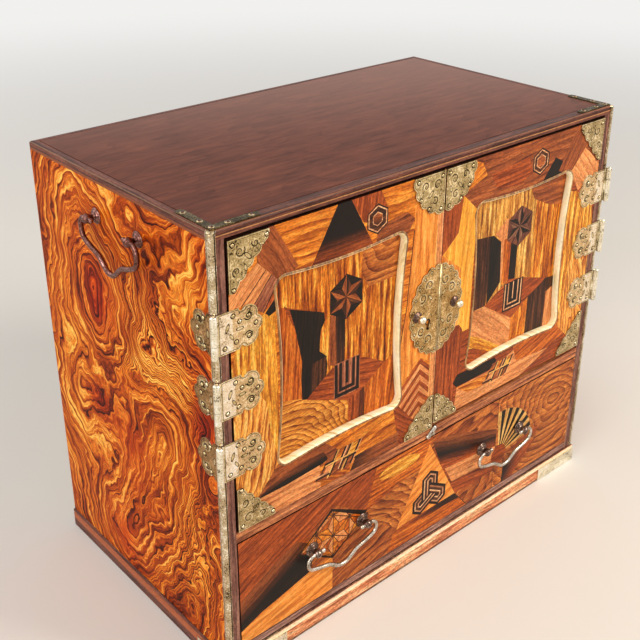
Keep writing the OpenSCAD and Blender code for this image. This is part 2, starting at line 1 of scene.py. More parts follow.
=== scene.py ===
# Small tansu chest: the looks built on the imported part. Tables are in millimetres.
import math
from functools import cache

import bpy
import numpy as np
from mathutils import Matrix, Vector
from mathutils.geometry import delaunay_2d_cdt


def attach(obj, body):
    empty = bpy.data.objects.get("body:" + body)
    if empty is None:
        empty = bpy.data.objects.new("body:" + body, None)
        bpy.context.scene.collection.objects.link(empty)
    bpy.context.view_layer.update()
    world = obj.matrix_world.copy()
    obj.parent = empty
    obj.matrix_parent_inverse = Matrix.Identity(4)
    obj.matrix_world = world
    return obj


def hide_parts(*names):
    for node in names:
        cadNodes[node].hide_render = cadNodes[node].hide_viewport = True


mm = 0.001
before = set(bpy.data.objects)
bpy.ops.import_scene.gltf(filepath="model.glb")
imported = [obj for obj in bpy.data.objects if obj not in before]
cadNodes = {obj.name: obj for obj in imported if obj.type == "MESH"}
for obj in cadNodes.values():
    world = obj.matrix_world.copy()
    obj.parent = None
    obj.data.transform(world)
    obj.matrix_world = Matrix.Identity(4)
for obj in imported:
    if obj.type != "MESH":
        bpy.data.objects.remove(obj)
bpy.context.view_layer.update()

# ---- camera ----
camera = {
    "place": (-511.4, -557.0, 587.8),
    "turn": (65.178, -0.087, -41.194),       # degrees about X, Y and Z
    "lens": 56.32,
    "shift": -0.09375,                       # 60 of 640 pixels: the view lies lower than its axis
    "film": 36,
    "clip": (0.01, 50),                      # metres
}
cameraData = bpy.data.cameras.new("chestCamera")
cameraData.lens, cameraData.sensor_width = camera["lens"], camera["film"]
cameraData.shift_y = camera["shift"]
cameraData.clip_start, cameraData.clip_end = camera["clip"]
cameraObject = bpy.data.objects.new("chestCamera", cameraData)
cameraObject.location = [v * mm for v in camera["place"]]
cameraObject.rotation_euler = [math.radians(v) for v in camera["turn"]]
bpy.context.scene.collection.objects.link(cameraObject)
bpy.context.scene.camera = cameraObject


# ---- helpers for materials ----
def linearColour(text):
    parts = [int(text[i:i + 2], 16) / 255 for i in (1, 3, 5)]
    return [c / 12.92 if c <= 0.04045 else ((c + 0.055) / 1.055) ** 2.4 for c in parts] + [1.0]


# Adds one node with its settings, its links and, for a ramp, its stops. Gives back one output,
# or all of them when out is None.
def add(tree, kind, inputs=None, out=0, stops=None, **settings):
    made = tree.nodes.new("ShaderNode" + kind)
    for name, value in settings.items():
        setattr(made, name, value)
    for name, value in (inputs or {}).items():
        if isinstance(value, bpy.types.NodeSocket):
            tree.links.new(value, made.inputs[name])
        else:
            made.inputs[name].default_value = value
    if stops:
        ramp = made.color_ramp
        while len(ramp.elements) < len(stops):
            ramp.elements.new(0.5)
        for element, (place, tone) in zip(ramp.elements, stops):
            element.position = place
            element.color = linearColour(tone) if isinstance(tone, str) else (tone, tone, tone, 1)
    if out is None or not len(made.outputs):
        return made.outputs
    return made.outputs[out]


def newMaterial(name):
    made = bpy.data.materials.new(name)
    made.use_nodes = True
    made.node_tree.nodes.clear()
    return made, made.node_tree


# The object's own coordinates in millimetres
def inMillimetres(tree):
    return add(tree, "Mapping", {"Vector": add(tree, "TexCoord", out="Object"),
        "Scale": (1000, 1000, 1000)})


# ---- wood ----
# Each row has the four colours from light to growth line, then pitch, the distance between
# growth lines in mm, wave, how far they wander, strength, how dark they are, and fibre. What
# differs from plainWood follows: rings draws the lines round the piece's own centre, squeezed by
# that much along the grain, mottle is how much the 2 mm flecks vary, vivid the contrast, pores how
# dark the pores are, then lines of another colour along a board (height, half width, colour),
# which paint highlights on its rounded edges and shade in its joints, and last a pale tint painted
# as a reflection in the varnish, with where it starts and ends.
plainWood = {"rings": 0, "mottle": 0.34, "vivid": 1.0, "pores": 0.45, "sheen": 0.16, "relief": 0.2,
    "bands": (), "faded": ()}
# each pattern's scale along and across the grain per mm, detail and roughness
woodNoise = {"drift": (0.016, 0.05, 3, 0.45), "streak": (0.022, 0.26, 6, 0.7),
    "presence": (0.02, 0.16, 2, 0.5), "fibre": (0.14, 2.0, 4, 0.65), "fleck": (0.3, 0.75, 3, 0.6),
    "slow": (0.03, 0.06, 2, 0.5), "pores": (0.35, 3.2, 2, 0.5)}
woods = {
    "stripedZelkova": ("#FFCB62 #DC7C1C #8A360A #301004", 6.4, 3.4, 0.34, 0.6, {}),
    "amberZelkova": ("#FAAE4A #D67822 #93400E #481A07", 9.0, 8.0, 0.5, 0.4, {"vivid": 0.75}),
    "orangeZelkova": ("#EE9038 #C9641C #964011 #521D07", 3.4, 1.5, 0.35, 0.45, {}),
    "yellowMulberry": ("#FFD878 #E69E34 #AC5A18 #66290C", 6.0, 3.0, 0.35, 0.35, {}),
    "brightZelkova": ("#FFC070 #EE9440 #C46A24 #8A4014", 9.0, 6.0, 0.3, 0.3, {"mottle": 0.2,
        "vivid": 0.7}),
    "goldMulberry": ("#FFD478 #F6AC40 #D08428 #8E4A16", 7.0, 4.0, 0.25, 0.25, {"mottle": 0.2,
        "vivid": 0.6}),
    "dashedMulberry": ("#FFD88A #DE9E4A #9E5A22 #54260C", 5.0, 3.0, 0.3, 0.5, {"pores": 0.9}),
    "knottyMulberry": ("#FFD080 #E69A44 #A8501C #54200B", 5.0, 11.0, 0.6, 0.35, {}),
    "burlMulberry": ("#F8B45C #D48432 #93461A #421807", 4.2, 6.0, 0.62, 0.4, {"rings": 0.9}),
    "salmonCedar": ("#FCBA84 #E0925E #B06038 #6A2E1A", 7.0, 4.0, 0.5, 0.3, {"vivid": 0.6}),
    "redQuince": ("#C8642E #A0481E #6C2A10 #360D04", 4.0, 2.0, 0.45, 0.45, {"vivid": 0.8}),
    "plumWood": ("#C06C3A #984E2A #682E16 #321208", 6.0, 5.0, 0.45, 0.35, {"vivid": 0.75}),
    "walnutRings": ("#D2803E #A85628 #702E14 #361207", 8.5, 9.0, 0.6, 0.35, {"rings": 0.45}),
    "zelkovaRings": ("#E09048 #B4622B #7C3818 #42160A", 6.5, 7.0, 0.6, 0.35, {"rings": 0.8}),
    "ebony": ("#2B1B14 #1B110D #100A08 #080504", 3.0, 1.5, 0.4, 0.5, {}),
    "brownEbony": ("#6E3E26 #482617 #2E160D #1A0B06", 3.5, 1.5, 0.4, 0.5, {}),
    "boxwood": ("#F8D294 #E4B26C #C88C4C #A06A32", 2.5, 1.0, 0.3, 0.3, {}),
    "paleCherry": ("#F6CBA8 #E0A684 #BC7C5C #8A5038", 2.5, 1.0, 0.3, 0.3, {}),
    "pinkCherry": ("#C68468 #A3604A #7C4030 #54281C", 2.5, 1.0, 0.3, 0.3, {}),
    "rosewood": ("#8C5341 #6F3F32 #512B23 #2F1510", 4.6, 2.4, 0.4, 0.4, {}),
    "railRosewood": ("#E0925C #B86E44 #7A4028 #3A1A10", 4.6, 2.4, 0.4, 0.4, {}),
    "stileRosewood": ("#A87864 #835648 #613A30 #361A14", 4.6, 2.4, 0.4, 0.4, {}),
    # The bands of these four rosewoods are mostly painted light: pale lines are painted highlights
    # on rounded edges, dark lines are painted shade in joints and along the foot, and the wide band
    # on the plinth's sides is the worn front's colour darkened as painted shade
    "sideRosewood": ("#8C5341 #6F3F32 #512B23 #2F1510", 4.6, 2.4, 0.4, 0.4, {"bands": ((350.6, 1.0,
        "#8A4A26"), (11.0, 4.4, "#B05E36"), (355.2, 0.35, "#7E5A3C"))}),
    "frontRosewood": ("#7E4A3A #62362A #48261E #2A120D", 4.6, 2.4, 0.4, 0.4, {"bands": ((352.0,
        0.45, "#B98250"), (355.6, 0.3, "#8E6046"))}),
    "wornRosewood": ("#FFE0AC #F4A672 #CC7248 #74301A", 9.0, 6.0, 0.2, 0.4, {"mottle": 0.5, "bands":
        ((14.2, 2.3, "#F8E6C0"), (16.9, 0.6, "#3A1C14"), (0.9, 1.5, "#5A3020"))}),
    "greyRosewood": ("#C89C8A #9E7466 #744C40 #40221A", 4.6, 2.4, 0.4, 0.4, {"bands": ((24.4, 1.3,
        "#34180F"), (17.5, 0.8, "#34180F"))}),
    # plumTop's pale tint towards the far right corner is a painted reflection in its varnish
    "plumTop": ("#75412F #683727 #5C2F22 #4C2419", 26.0, 40.0, 0.4, 0.08, {"sheen": 0.07, "mottle":
        0.05, "pores": 0.1, "relief": 0.04, "faded": ("#A8847A", -90, 230)}),
    "paleMoulding": ("#FFF8DC #FFF0C6 #F6DEA8 #C09A5C", 3.0, 1.0, 0.2, 0.1, {"sheen": 0.5, "mottle":
        0.06}),
    "brownLip": ("#C79A62 #A87C49 #7E5632 #4E311C", 3.0, 1.0, 0.2, 0.2, {"sheen": 0.4}),
    # near black: painted shade for the edges of the door and drawer boards that show in the gaps
    "stainedCedar": ("#3B2118 #2C1711 #1F100C #140A08", 7.0, 4.0, 0.5, 0.4, {}),
    "pine": ("#E2BE8A #D3A874 #BC8A56 #9B6F42", 6.0, 3.5, 0.4, 0.24, {"mottle": 0.05, "vivid": 0.6,
        "pores": 0.2}),
}


# Wood under a thin polish: growth lines with a sharp late edge mixed with irregular streaks,
# then fibres, pores and slow changes of tone. along is "uv" for veneers, or the axis of a
# board's grain.
@cache
def wood(kind, along="uv"):
    colours, pitch, wave, strength, fibre, extras = woods[kind]
    light, middle, dark, line = colours.split()
    look = {**plainWood, **extras}
    made, tree = newMaterial(kind + along.upper())
    if along == "uv":
        place = add(tree, "Mapping", {"Vector": add(tree, "UVMap", uv_map="grain"),
            "Scale": (10, 10, 1)})
    else:
        whole = inMillimetres(tree)
        axes = add(tree, "SeparateXYZ", {0: whole}, out=None)
        long, side, last = {"x": "XYZ", "y": "YXZ", "z": "ZXY"}[along]
        leaning = add(tree, "Math", {0: axes[side], 1: 0.8, 2: axes[last]},
            operation="MULTIPLY_ADD")
        place = add(tree, "CombineXYZ", {"X": axes[long], "Y": leaning})
    raw = {name: add(tree, "TexNoise", {"Vector": add(tree, "Mapping", {"Vector": place,
        "Scale": (a, b, 1)}), "Scale": 1, "Detail": detail, "Roughness": rough})
        for name, (a, b, detail, rough) in woodNoise.items()}
    # drift is how far a growth line wanders, presence how much of the lines shows
    ranges = {"drift": (0.2, 0.8, -wave, wave), "streak": (0.37, 0.64, 0, 1),
        "presence": (0.3, 0.7, strength * 0.5, strength * 1.25),
        "fibre": (0.3, 0.7, 1 - fibre * 0.8, 1 + fibre * 0.35),
        "fleck": (0.34, 0.66, 1 - look["mottle"], 1 + look["mottle"] * 0.8),
        "slow": (0.25, 0.75, 0.8, 1.16)}
    layer = {name: add(tree, "MapRange", {"Value": raw[name], "From Min": a, "From Max": b,
        "To Min": low, "To Max": high}) for name, (a, b, low, high) in ranges.items()}
    if look["rings"]:
        across = add(tree, "VectorMath", {0: add(tree, "Mapping", {"Vector": place,
            "Scale": (look["rings"], 1, 0)})}, out="Value", operation="LENGTH")
    else:
        across = add(tree, "SeparateXYZ", {0: place}, out="Y")
    across = add(tree, "Math", {0: across, 1: layer["drift"]}, operation="ADD")
    year = add(tree, "Math", {0: add(tree, "Math", {0: across, 1: pitch},
        operation="DIVIDE")}, operation="FRACT")
    late = add(tree, "ValToRGB", {"Fac": year}, stops=[(0, 0.0), (0.45, 0.22), (0.8, 0.62),
        (0.93, 1.0), (1, 0.1)])
    tone = add(tree, "Mix", {0: layer["presence"], 2: layer["streak"], 3: late})
    vivid = look["vivid"]
    tone = add(tree, "Math", {0: tone, 1: vivid, 2: 0.34 * (1 - vivid)}, operation="MULTIPLY_ADD")
    colour = add(tree, "ValToRGB", {"Fac": tone}, stops=[(0.05, light), (0.36, middle),
        (0.66, dark), (0.95, line)])
    for name in ("fibre", "fleck", "slow"):
        colour = add(tree, "VectorMath", {0: colour, "Scale": layer[name]}, operation="SCALE")
    # tints laid over the wood: each an amount and a colour
    tints = []
    if look["faded"]:
        # painted reflection: the top pales towards the far right corner, as its glossy varnish
        # would mirror a bright wall there
        tint, start, end = look["faded"]
        reflectionShare = add(tree, "VectorMath", {0: whole, 1: (0.5, 1, 0)}, out="Value",
            operation="DOT_PRODUCT")
        tints.append((add(tree, "MapRange", {"Value": reflectionShare, "From Min": start, "From Max": end,
            "To Max": 0.5}, interpolation_type="SMOOTHSTEP"), tint))
    # pores: short dark dashes along the grain
    pores = add(tree, "ValToRGB", {"Fac": raw["pores"]}, stops=[(0.6, 0.0), (0.72, 1.0)])
    tints.append((add(tree, "Math", {0: pores, 1: look["pores"]}, operation="MULTIPLY"), line))
    # painted highlights and painted shade along a board's edges and joints
    for level, half, tint in look["bands"]:
        off = add(tree, "Math", {0: axes["Z"], 1: level}, operation="SUBTRACT")
        off = add(tree, "MapRange", {"Value": add(tree, "Math", {0: off}, operation="ABSOLUTE"),
            "From Min": half, "From Max": half * 0.6, "To Max": 0.9})
        tints.append((add(tree, "Math", {0: off, 1: layer["fleck"]}, operation="MULTIPLY"), tint))
    for amount, tint in tints:
        colour = add(tree, "Mix", {0: amount, 6: colour, 7: linearColour(tint)}, out=2,
            data_type="RGBA")
    if along == "uv":
        # hot-sand shading: the piece darkens towards one edge
        sand = add(tree, "SeparateXYZ", {0: add(tree, "UVMap", uv_map="sand")}, out=None)
        burnt = add(tree, "MapRange", {"Value": sand["X"]}, interpolation_type="SMOOTHSTEP")
        burnt = add(tree, "Math", {0: burnt, 1: sand["Y"]}, operation="MULTIPLY")
        # the old varnish takes some of the blue out of every veneer
        colour = add(tree, "VectorMath", {0: colour, 1: (1.02, 0.97, 0.76)}, operation="MULTIPLY")
        colour = add(tree, "Mix", {0: burnt, 6: colour, 7: linearColour("#150B07")}, out=2,
            data_type="RGBA")
    rough = add(tree, "MapRange", {"Value": raw["fibre"], "To Min": 0.34, "To Max": 0.5})
    bump = add(tree, "Bump", {"Height": raw["fibre"], "Strength": look["relief"],
        "Distance": 0.0001})
    shader = add(tree, "BsdfPrincipled", {"Base Color": colour, "Roughness": rough,
        "Normal": bump, "Specular IOR Level": look["sheen"]})
    add(tree, "OutputMaterial", {"Surface": shader})
    return made


# ---- metal ----
# high, middle and low colours, roughness, and whether the sheet is punched
metals = {
    "engravedBrass": ("#F4DDB0 #B09868 #3A2A18", 0.36, True),
    "lockBrass": ("#F0CE94 #B48E56 #2E2212", 0.4, True),
    "caseBrass": ("#E0B078 #9C774A #3C2815", 0.42, True),
    "hingeBrass": ("#FFE8C0 #D2B080 #4E3A26", 0.34, True),
    # paler brass for a band beside the pin on the door hinge leaves
    "wornBrass": ("#FFF8EA #EEDABC #8C7250", 0.3, True),
    "stripBrass": ("#FFF8E4 #BCA682 #4C3A26", 0.22),
    "rimBrass": ("#F6E4BC #C8B07E #6A5430", 0.3),
    "cutBrass": ("#4C3B26 #2A2014 #120D08", 0.5),
    "strapBrass": ("#8C7A50 #4E4128 #1A140D", 0.4),
    "nailBrass": ("#F6E6C4 #B49E72 #5D4C30", 0.22),
    "paleBrass": ("#FFFDF4 #E6DCC2 #6E5F46", 0.22),
    "grooveBrass": ("#5C4E3A #3A2E20 #1C150D", 0.45),
    "wornNickel": ("#EDE7DC #BBB1A2 #55453B", 0.22),
    "bronzeGrey": ("#A08C80 #5C463C #2A1A15", 0.32),
    "copperBrown": ("#B0837A #704A42 #2D1814", 0.3),
    "ironPlate": ("#8C8880 #66625C #37342F", 0.5),
}


# Old sheet or cast metal: stains, wear, and punched dots on the engraved kinds
@cache
def metal(kind):
    colours, rough, *punched = metals[kind]
    high, middle, low = colours.split()
    made, tree = newMaterial(kind)
    place = inMillimetres(tree)
    stain = add(tree, "TexNoise", {"Vector": place, "Scale": 0.12, "Detail": 5, "Roughness": 0.62})
    wear = add(tree, "TexNoise", {"Vector": place, "Scale": 0.9, "Detail": 4})
    tone = add(tree, "Math", {0: stain, 1: wear}, operation="ADD")
    tone = add(tree, "MapRange", {"Value": tone, "From Min": 0.74, "From Max": 1.24})
    colour = add(tree, "ValToRGB", {"Fac": tone}, stops=[(0.0, low), (0.32, middle),
        (0.56, middle), (1.0, high)])
    height = wear
    if punched:
        # punched dots 1.25 mm apart
        dots = add(tree, "TexVoronoi", {"Scale": 0.8, "Vector": place}, out="Distance")
        dots = add(tree, "ValToRGB", {"Fac": dots}, stops=[(0.1, 0.0), (0.34, 1.0)])
        shade = add(tree, "MapRange", {"Value": dots, "To Min": 0.62})
        colour = add(tree, "VectorMath", {0: colour, "Scale": shade}, operation="SCALE")
        height = add(tree, "Math", {0: wear, 1: 0.5, 2: dots}, operation="MULTIPLY_ADD")
    rough = add(tree, "MapRange", {"Value": tone, "To Min": rough + 0.16, "To Max": rough - 0.06})
    bump = add(tree, "Bump", {"Height": height, "Strength": 0.4, "Distance": 0.0002})
    shader = add(tree, "BsdfPrincipled", {"Base Color": colour, "Metallic": 1.0,
        "Roughness": rough, "Normal": bump})
    add(tree, "OutputMaterial", {"Surface": shader})
    return made


# ---- helpers for shapes ----
# A mesh object from points in millimetres; it rides on its body and may replace CAD nodes
def makePiece(name, points, faces, materials, body, replaces=(), smooth=True, index=None):
    mesh = bpy.data.meshes.new(name)
    mesh.from_pydata((np.asarray(points, float) * mm).tolist(), [], faces)
    for material in materials:
        mesh.materials.append(material)
    if index is not None:
        mesh.polygons.foreach_set("material_index", np.asarray(index, np.int32))
    mesh.polygons.foreach_set("use_smooth", np.full(len(mesh.polygons), smooth))
    mesh.update()
    made = bpy.data.objects.new(name, mesh)
    bpy.context.scene.collection.objects.link(made)
    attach(made, body)
    if replaces:
        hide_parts(*replaces)
    return made


# Quads of a grid of rows by columns; closed ways join the last to the first
def gridFaces(rows, columns, closeRows=False, closeColumns=True):
    i = np.arange(rows if closeRows else rows - 1)[:, None]
    j = np.arange(columns if closeColumns else columns - 1)[None, :]
    a = i * columns + j
    b = i * columns + (j + 1) % columns
    c = ((i + 1) % rows) * columns + (j + 1) % columns
    d = ((i + 1) % rows) * columns + j
    return np.stack([a, b, c, d], -1).reshape(-1, 4).tolist()


# Catmull-Rom curve through points, steps in each span
def smoothPath(points, steps):
    p = np.asarray(points, float)
    q = np.concatenate([p[:1], p, p[-1:]])
    t = (np.arange(steps) / steps)[None, :, None]
    a, b, c, d = (q[k:len(q) - 3 + k][:, None, :] for k in range(4))
    curve = 0.5 * (2 * b + (c - a) * t + (2 * a - 5 * b + 4 * c - d) * t ** 2
        + (3 * b - a - 3 * c + d) * t ** 3)
    return np.concatenate([curve.reshape(-1, p.shape[1]), p[-1:]])


# Solids of revolution: profile rows are (radius, distance along the axis). One copy stands at
# each place; axis is the unit vector that it points along.
def lathePieces(profile, places, axis, sides=28):
    profile = np.asarray(profile, float)
    axis = np.asarray(axis, float)
    side = np.cross(axis, [0.3, 0.5, 0.8])
    side /= np.linalg.norm(side)
    other = np.cross(axis, side)
    t = np.arange(sides) / sides * 2 * np.pi
    ring = np.cos(t)[:, None] * side + np.sin(t)[:, None] * other
    one = profile[:, 0, None, None] * ring + profile[:, 1, None, None] * axis
    one = one.reshape(-1, 3)
    faces = np.array(gridFaces(len(profile), sides))[:, ::-1]
    places = np.atleast_2d(places)
    points = (places[:, None, :] + one).reshape(-1, 3)
    offsets = np.arange(len(places)) * len(one)
    return points, (faces[None] + offsets[:, None, None]).reshape(-1, 4).tolist()


def joinParts(parts):
    points, faces, count = [], [], 0
    for p, f in parts:
        points.append(np.asarray(p))
        faces += [[v + count for v in face] for face in f]
        count += len(p)
    return np.concatenate(points), faces


# ---- CAD nodes that stay, with their finish ----
leaves = ["%s_leaf_%s_%d" % (part, side, i) for part in ("door", "case")
    for side in ("left", "right") for i in (1, 2, 3)]
finishes = [
    (wood("plumTop", "x"), "top_panel"),
    (wood("frontRosewood", "x"), "top_moulding_front"),
    (wood("rosewood", "x"), "top_moulding_back plinth_back"),
    (wood("greyRosewood", "x"), "base_rail"),
    (wood("railRosewood", "x"), "divider_rail"),
    (wood("wornRosewood", "x"), "plinth_front"),
    (wood("sideRosewood", "y"), "top_moulding_sides plinth_sides"),
    (wood("stileRosewood", "z"), "stiles"),
    (wood("salmonCedar", "z"), "side_left side_right"),
    # door and drawer boards are near black, painted shade for their edges seen in the gaps
    (wood("stainedCedar", "z"), "door_left door_right"),
    (wood("stainedCedar", "x"), "drawer_front"),
    (wood("pine", "x"), "back_panel base_board divider_board shelf drawer_back drawer_bottom"),
    (wood("pine", "y"), "shelf_cleats drawer_sides drawer_stops"),
    (metal("lockBrass"), "lock_plate_left lock_plate_right"),
    (metal("engravedBrass"), "mounts_left mounts_right"),
    (metal("paleBrass"), "hinge_pins_left hinge_pins_right " + " ".join(leaves)),
    (metal("strapBrass"), "top_straps"),
    (metal("paleBrass"), "corner_strips_left corner_strips_right plinth_caps"),
    (wood("paleMoulding", "z"), "bead_left bead_right"),
    (metal("wornNickel"), "knob_left knob_right pull_left pull_right turn_button turn_screw"),
    (metal("copperBrown"), "bail_left bail_right bail_posts pull_posts"),
    (metal("ironPlate"), "lock_case lock_keeper"),
]
for material, names in finishes:
    for name in names.split():
        cadNodes[name].data.materials.clear()
        cadNodes[name].data.materials.append(material)
print("frame loaded, finishes given")


# ---- marquetry ----
# A veneer piece is a wood, its outline as X, Z pairs, the angle of its grain, and perhaps a
# centre for its rings and a sand shading (from x, z to x, z, strength). Later pieces are let
# into earlier ones, everything is cut to the first, and a piece with no wood is an opening. A
# piece may also be cut to another one, inside; one of the wood "mask" is there only for that.
def veneer(kind, points, grain=0, centre=None, sand=None, inside=None):
    points = np.asarray(points, float).reshape(-1, 2)
    x, z = points[:, 0], points[:, 1]
    if np.sum(x * np.roll(z, -1) - np.roll(x, -1) * z) < 0:
        points = points[::-1]
    return {"wood": kind, "points": points, "grain": grain, "centre": centre, "sand": sand,
        "inside": inside}


def box(x0, z0, x1, z1):
    return [(x0, z0), (x1, z0), (x1, z1), (x0, z1)]


def regular(x, z, radius, sides, turn=0.0):
    t = np.radians(turn + np.arange(sides) * 360 / sides)
    return np.stack([x + radius * np.cos(t), z + radius * np.sin(t)], 1)


# A straight strip of veneer between two points
def strip(kind, start, end, width, grain=0, inside=None):
    start, end = np.array(start, float), np.array(end, float)
    along = (end - start) / np.linalg.norm(end - start)
    off = np.array([-along[1], along[0]]) * width / 2
    return veneer(kind, [start - off, end - off, end + off, start + off], grain, inside=inside)


# Moves pieces by dx and dz
def moved(pieces, dx, dz):
    step = np.array([dx, dz])
    for piece in pieces:
        piece["points"] = piece["points"] + step
        if piece["centre"] is not None:
            piece["centre"] = np.add(piece["centre"], step)
        if piece["sand"]:
            x0, z0, x1, z1, k = piece["sand"]
            piece["sand"] = (x0 + dx, z0 + dz, x1 + dx, z1 + dz, k)
    return pieces


# Hexagons laid one in another: each a wood and its radius
def hexagons(x, z, *rings):
    return [veneer(kind, regular(x, z, radius, 6, 30)) for kind, radius in rings]


# Six-pointed star of twelve facets in two woods, with the first point at 30 degrees
def star(x, z, radius, notch, pale, dark):
    made = []
    for k in range(6):
        a, left, right = (math.radians(30 + 60 * k + d) for d in (0, 30, -30))
        tip = (x + radius * math.cos(a), z + radius * math.sin(a))
        for kind, side in ((pale, left), (dark, right)):
            made.append(veneer(kind, [(x, z), tip, (x + notch * math.cos(side),
                z + notch * math.sin(side))], math.degrees(a)))
    return made


# Two nested U lines and a bar between them, on a square ground
def nestedFret(x0, z0, x1, z1, ground, line, lineWidth):
    made = [veneer(ground, box(x0, z0, x1, z1), 90)]
    step = (x1 - x0) / 6.0
    for k in range(2):
        left, right, low = x0 + step * (k + 0.5), x1 - step * (k + 0.5), z0 + step * (k + 0.55)
        for a, b in (((left, z1 - 0.8), (left, low)), ((left - lineWidth / 2, low),
                (right + lineWidth / 2, low)), ((right, low), (right, z1 - 0.8))):
            made.append(strip(line, a, b, lineWidth, 90))
    middle = (x0 + x1) / 2
    made.append(strip(line, (middle, z1 - 0.8), (middle, z0 + step * 2.4), lineWidth, 90))
    return made


# Lattice of pale bars with dark sides, slanted by 60 degrees: x where a bar crosses the level
# one, how far it goes below and above, its width and kind
slantedBars = [(1.9, -10.5, -0.6, 1.7, "ebony"), (-1.8, 0.6, 8.6, 1.6, "ebony"),
    (7.1, 0.6, 8.6, 1.9, "ebony"), (10.8, -8.0, -0.6, 1.6, "ebony"), (12.1, 0.6, 8.6, 1.7, "ebony"),
    (15.9, -10.0, -0.6, 1.7, "ebony"), (21.6, -9.0, 8.6, 1.8, "ebony"),
    (0, -11.2, 9.0, 1.5, "boxwood"), (9.0, -8.0, 8.6, 1.2, "paleCherry"),
    (14.0, -11.0, 9.0, 1.4, "boxwood"), (23.4, -9.5, 9.0, 0.8, "paleCherry"),
    (-9.0, -6.0, 1.6, 1.3, "brownEbony")]
levelBars = [(-9.0, 0.4, 1.6, 1.6, "ebony"), (9.0, 22.5, -1.7, 1.6, "ebony"),
    (-17.5, -4.0, -8.0, 1.6, "ebony"), (-16.4, -4.5, -6.2, 1.3, "paleCherry"),
    (-8.4, 25.6, 0, 1.2, "boxwood")]


def slantedLattice(x, z, size=1.0):
    lean = 1 / math.tan(math.radians(60))
    cells = (("plumWood", [(-17, -9.5), (15, -11), (29, 9), (-4, 9)]),
        ("amberZelkova", [(1.5, 0.6), (7, 0.6), (11.6, 8), (6, 8)]),
        ("yellowMulberry", [(15, 0.6), (20.6, 0.6), (25, 8), (19.4, 8)]),
        ("salmonCedar", [(-3, -6), (-1, -1), (-7, -1), (-10, -6)]))
    made = [veneer(kind, np.array(outline) * size + [x, z], 10) for kind, outline in cells]
    for across, low, high, width, kind in slantedBars:
        made.append(strip(kind, (x + size * (across + low * lean), z + size * low),
            (x + size * (across + high * lean), z + size * high), width * size, 60))
    for start, end, level, width, kind in levelBars:
        made.append(strip(kind, (x + size * start, z + size * level),
            (x + size * end, z + size * level), width * size))
    return made


# Gives a sheet the thickness of the veneers, behind its face
def thicken(sheet, thickness=0.3):
    made = sheet.modifiers.new("veneer", "SOLIDIFY")
    made.thickness, made.offset = thickness * mm, -1


# Lays the pieces in one flush upright plane through origin, with the first coordinate along u.
# Triangles are cut along every outline, and each takes the last piece that covers it.
def layMarquetry(name, pieces, origin, body, seed, u=(1, 0, 0)):
    random = np.random.default_rng(seed)
    corners, outlines = [], []
    for piece in pieces:
        outlines.append(list(range(len(corners), len(corners) + len(piece["points"]))))
        corners += [Vector(p) for p in piece["points"].tolist()]
    points, _, faces, _, _, owners = delaunay_2d_cdt(corners, [], outlines, 1, 1e-4, True)
    faces, owners = zip(*[(f, o) for f, o in zip(faces, owners) if 0 in o])
    spot = {id(piece): i for i, piece in enumerate(pieces)}
    within = [spot[id(piece["inside"])] if piece["inside"] else 0 for piece in pieces]
    seen = [i for i, piece in enumerate(pieces) if piece["wood"] != "mask"]
    owners = [max((i for i in o if within[i] in o and i in seen), default=0) for o in owners]
    kept = [(f, o) for f, o in zip(faces, owners) if pieces[o]["wood"]]
    # only the points of kept triangles stay, so that no opening leaves a loose one behind
    used, faces = np.unique(np.array([f for f, _ in kept]).ravel(), return_inverse=True)
    faces = faces.reshape(-1, 3)
    owner = np.array([o for _, o in kept])
    flat = np.array([tuple(p) for p in points])[used]
    kinds = sorted({pieces[o]["wood"] for o in owner.tolist()})
    whole = np.array(origin) + flat[:, :1] * np.array(u) + flat[:, 1:] * np.array([0, 0, 1])
    made = makePiece(name, whole, faces.tolist(), [wood(k) if k in woods else metal(k)
        for k in kinds], body, smooth=False,
        index=[kinds.index(pieces[o]["wood"]) for o in owner])
    # grain: u runs along the fibres and v across them, in centimetres
    turns = np.radians([p["grain"] for p in pieces])
    centres = np.array([p["centre"] if p["centre"] is not None
        else p["points"].mean(0) + random.uniform(-400, 400, 2) for p in pieces])
    sands = np.array([p["sand"] or (0, 0, 1, 0, 0) for p in pieces], float)
    at = flat[faces.ravel()]
    who = np.repeat(owner, 3)
    d = at - centres[who]
    c, s = np.cos(turns[who]), np.sin(turns[who])
    grain = np.stack([d[:, 0] * c + d[:, 1] * s, -d[:, 0] * s + d[:, 1] * c], 1) / 10
    start, way = sands[who, 0:2], sands[who, 2:4] - sands[who, 0:2]
    shade = np.stack([((at - start) * way).sum(1) / (way ** 2).sum(1), sands[who, 4]], 1)
    mesh = made.data
    mesh.uv_layers.new(name="grain").data.foreach_set("uv", grain.ravel())
    mesh.uv_layers.new(name="sand").data.foreach_set("uv", shade.ravel())
    thicken(made)


# face is the plane of the door fronts, rise how far a veneer stands out of the solid under it
door = {"face": -109.5, "edge": 193.5, "free": 0.8, "top": 347.5, "leftLow": 128.9,
    "rightLow": 132.3, "rise": 0.03}
caseSide = 205.0
# the sunk panels: margin to the middle of the lining's lip, corner and hollow side radii, lip
# width, depth, and how far the round wall swells into the opening
bead = {"margin": 36.0, "corner": 9.0, "side": 480.0, "lip": 1.8, "deep": 4.5, "swell": 1.6}


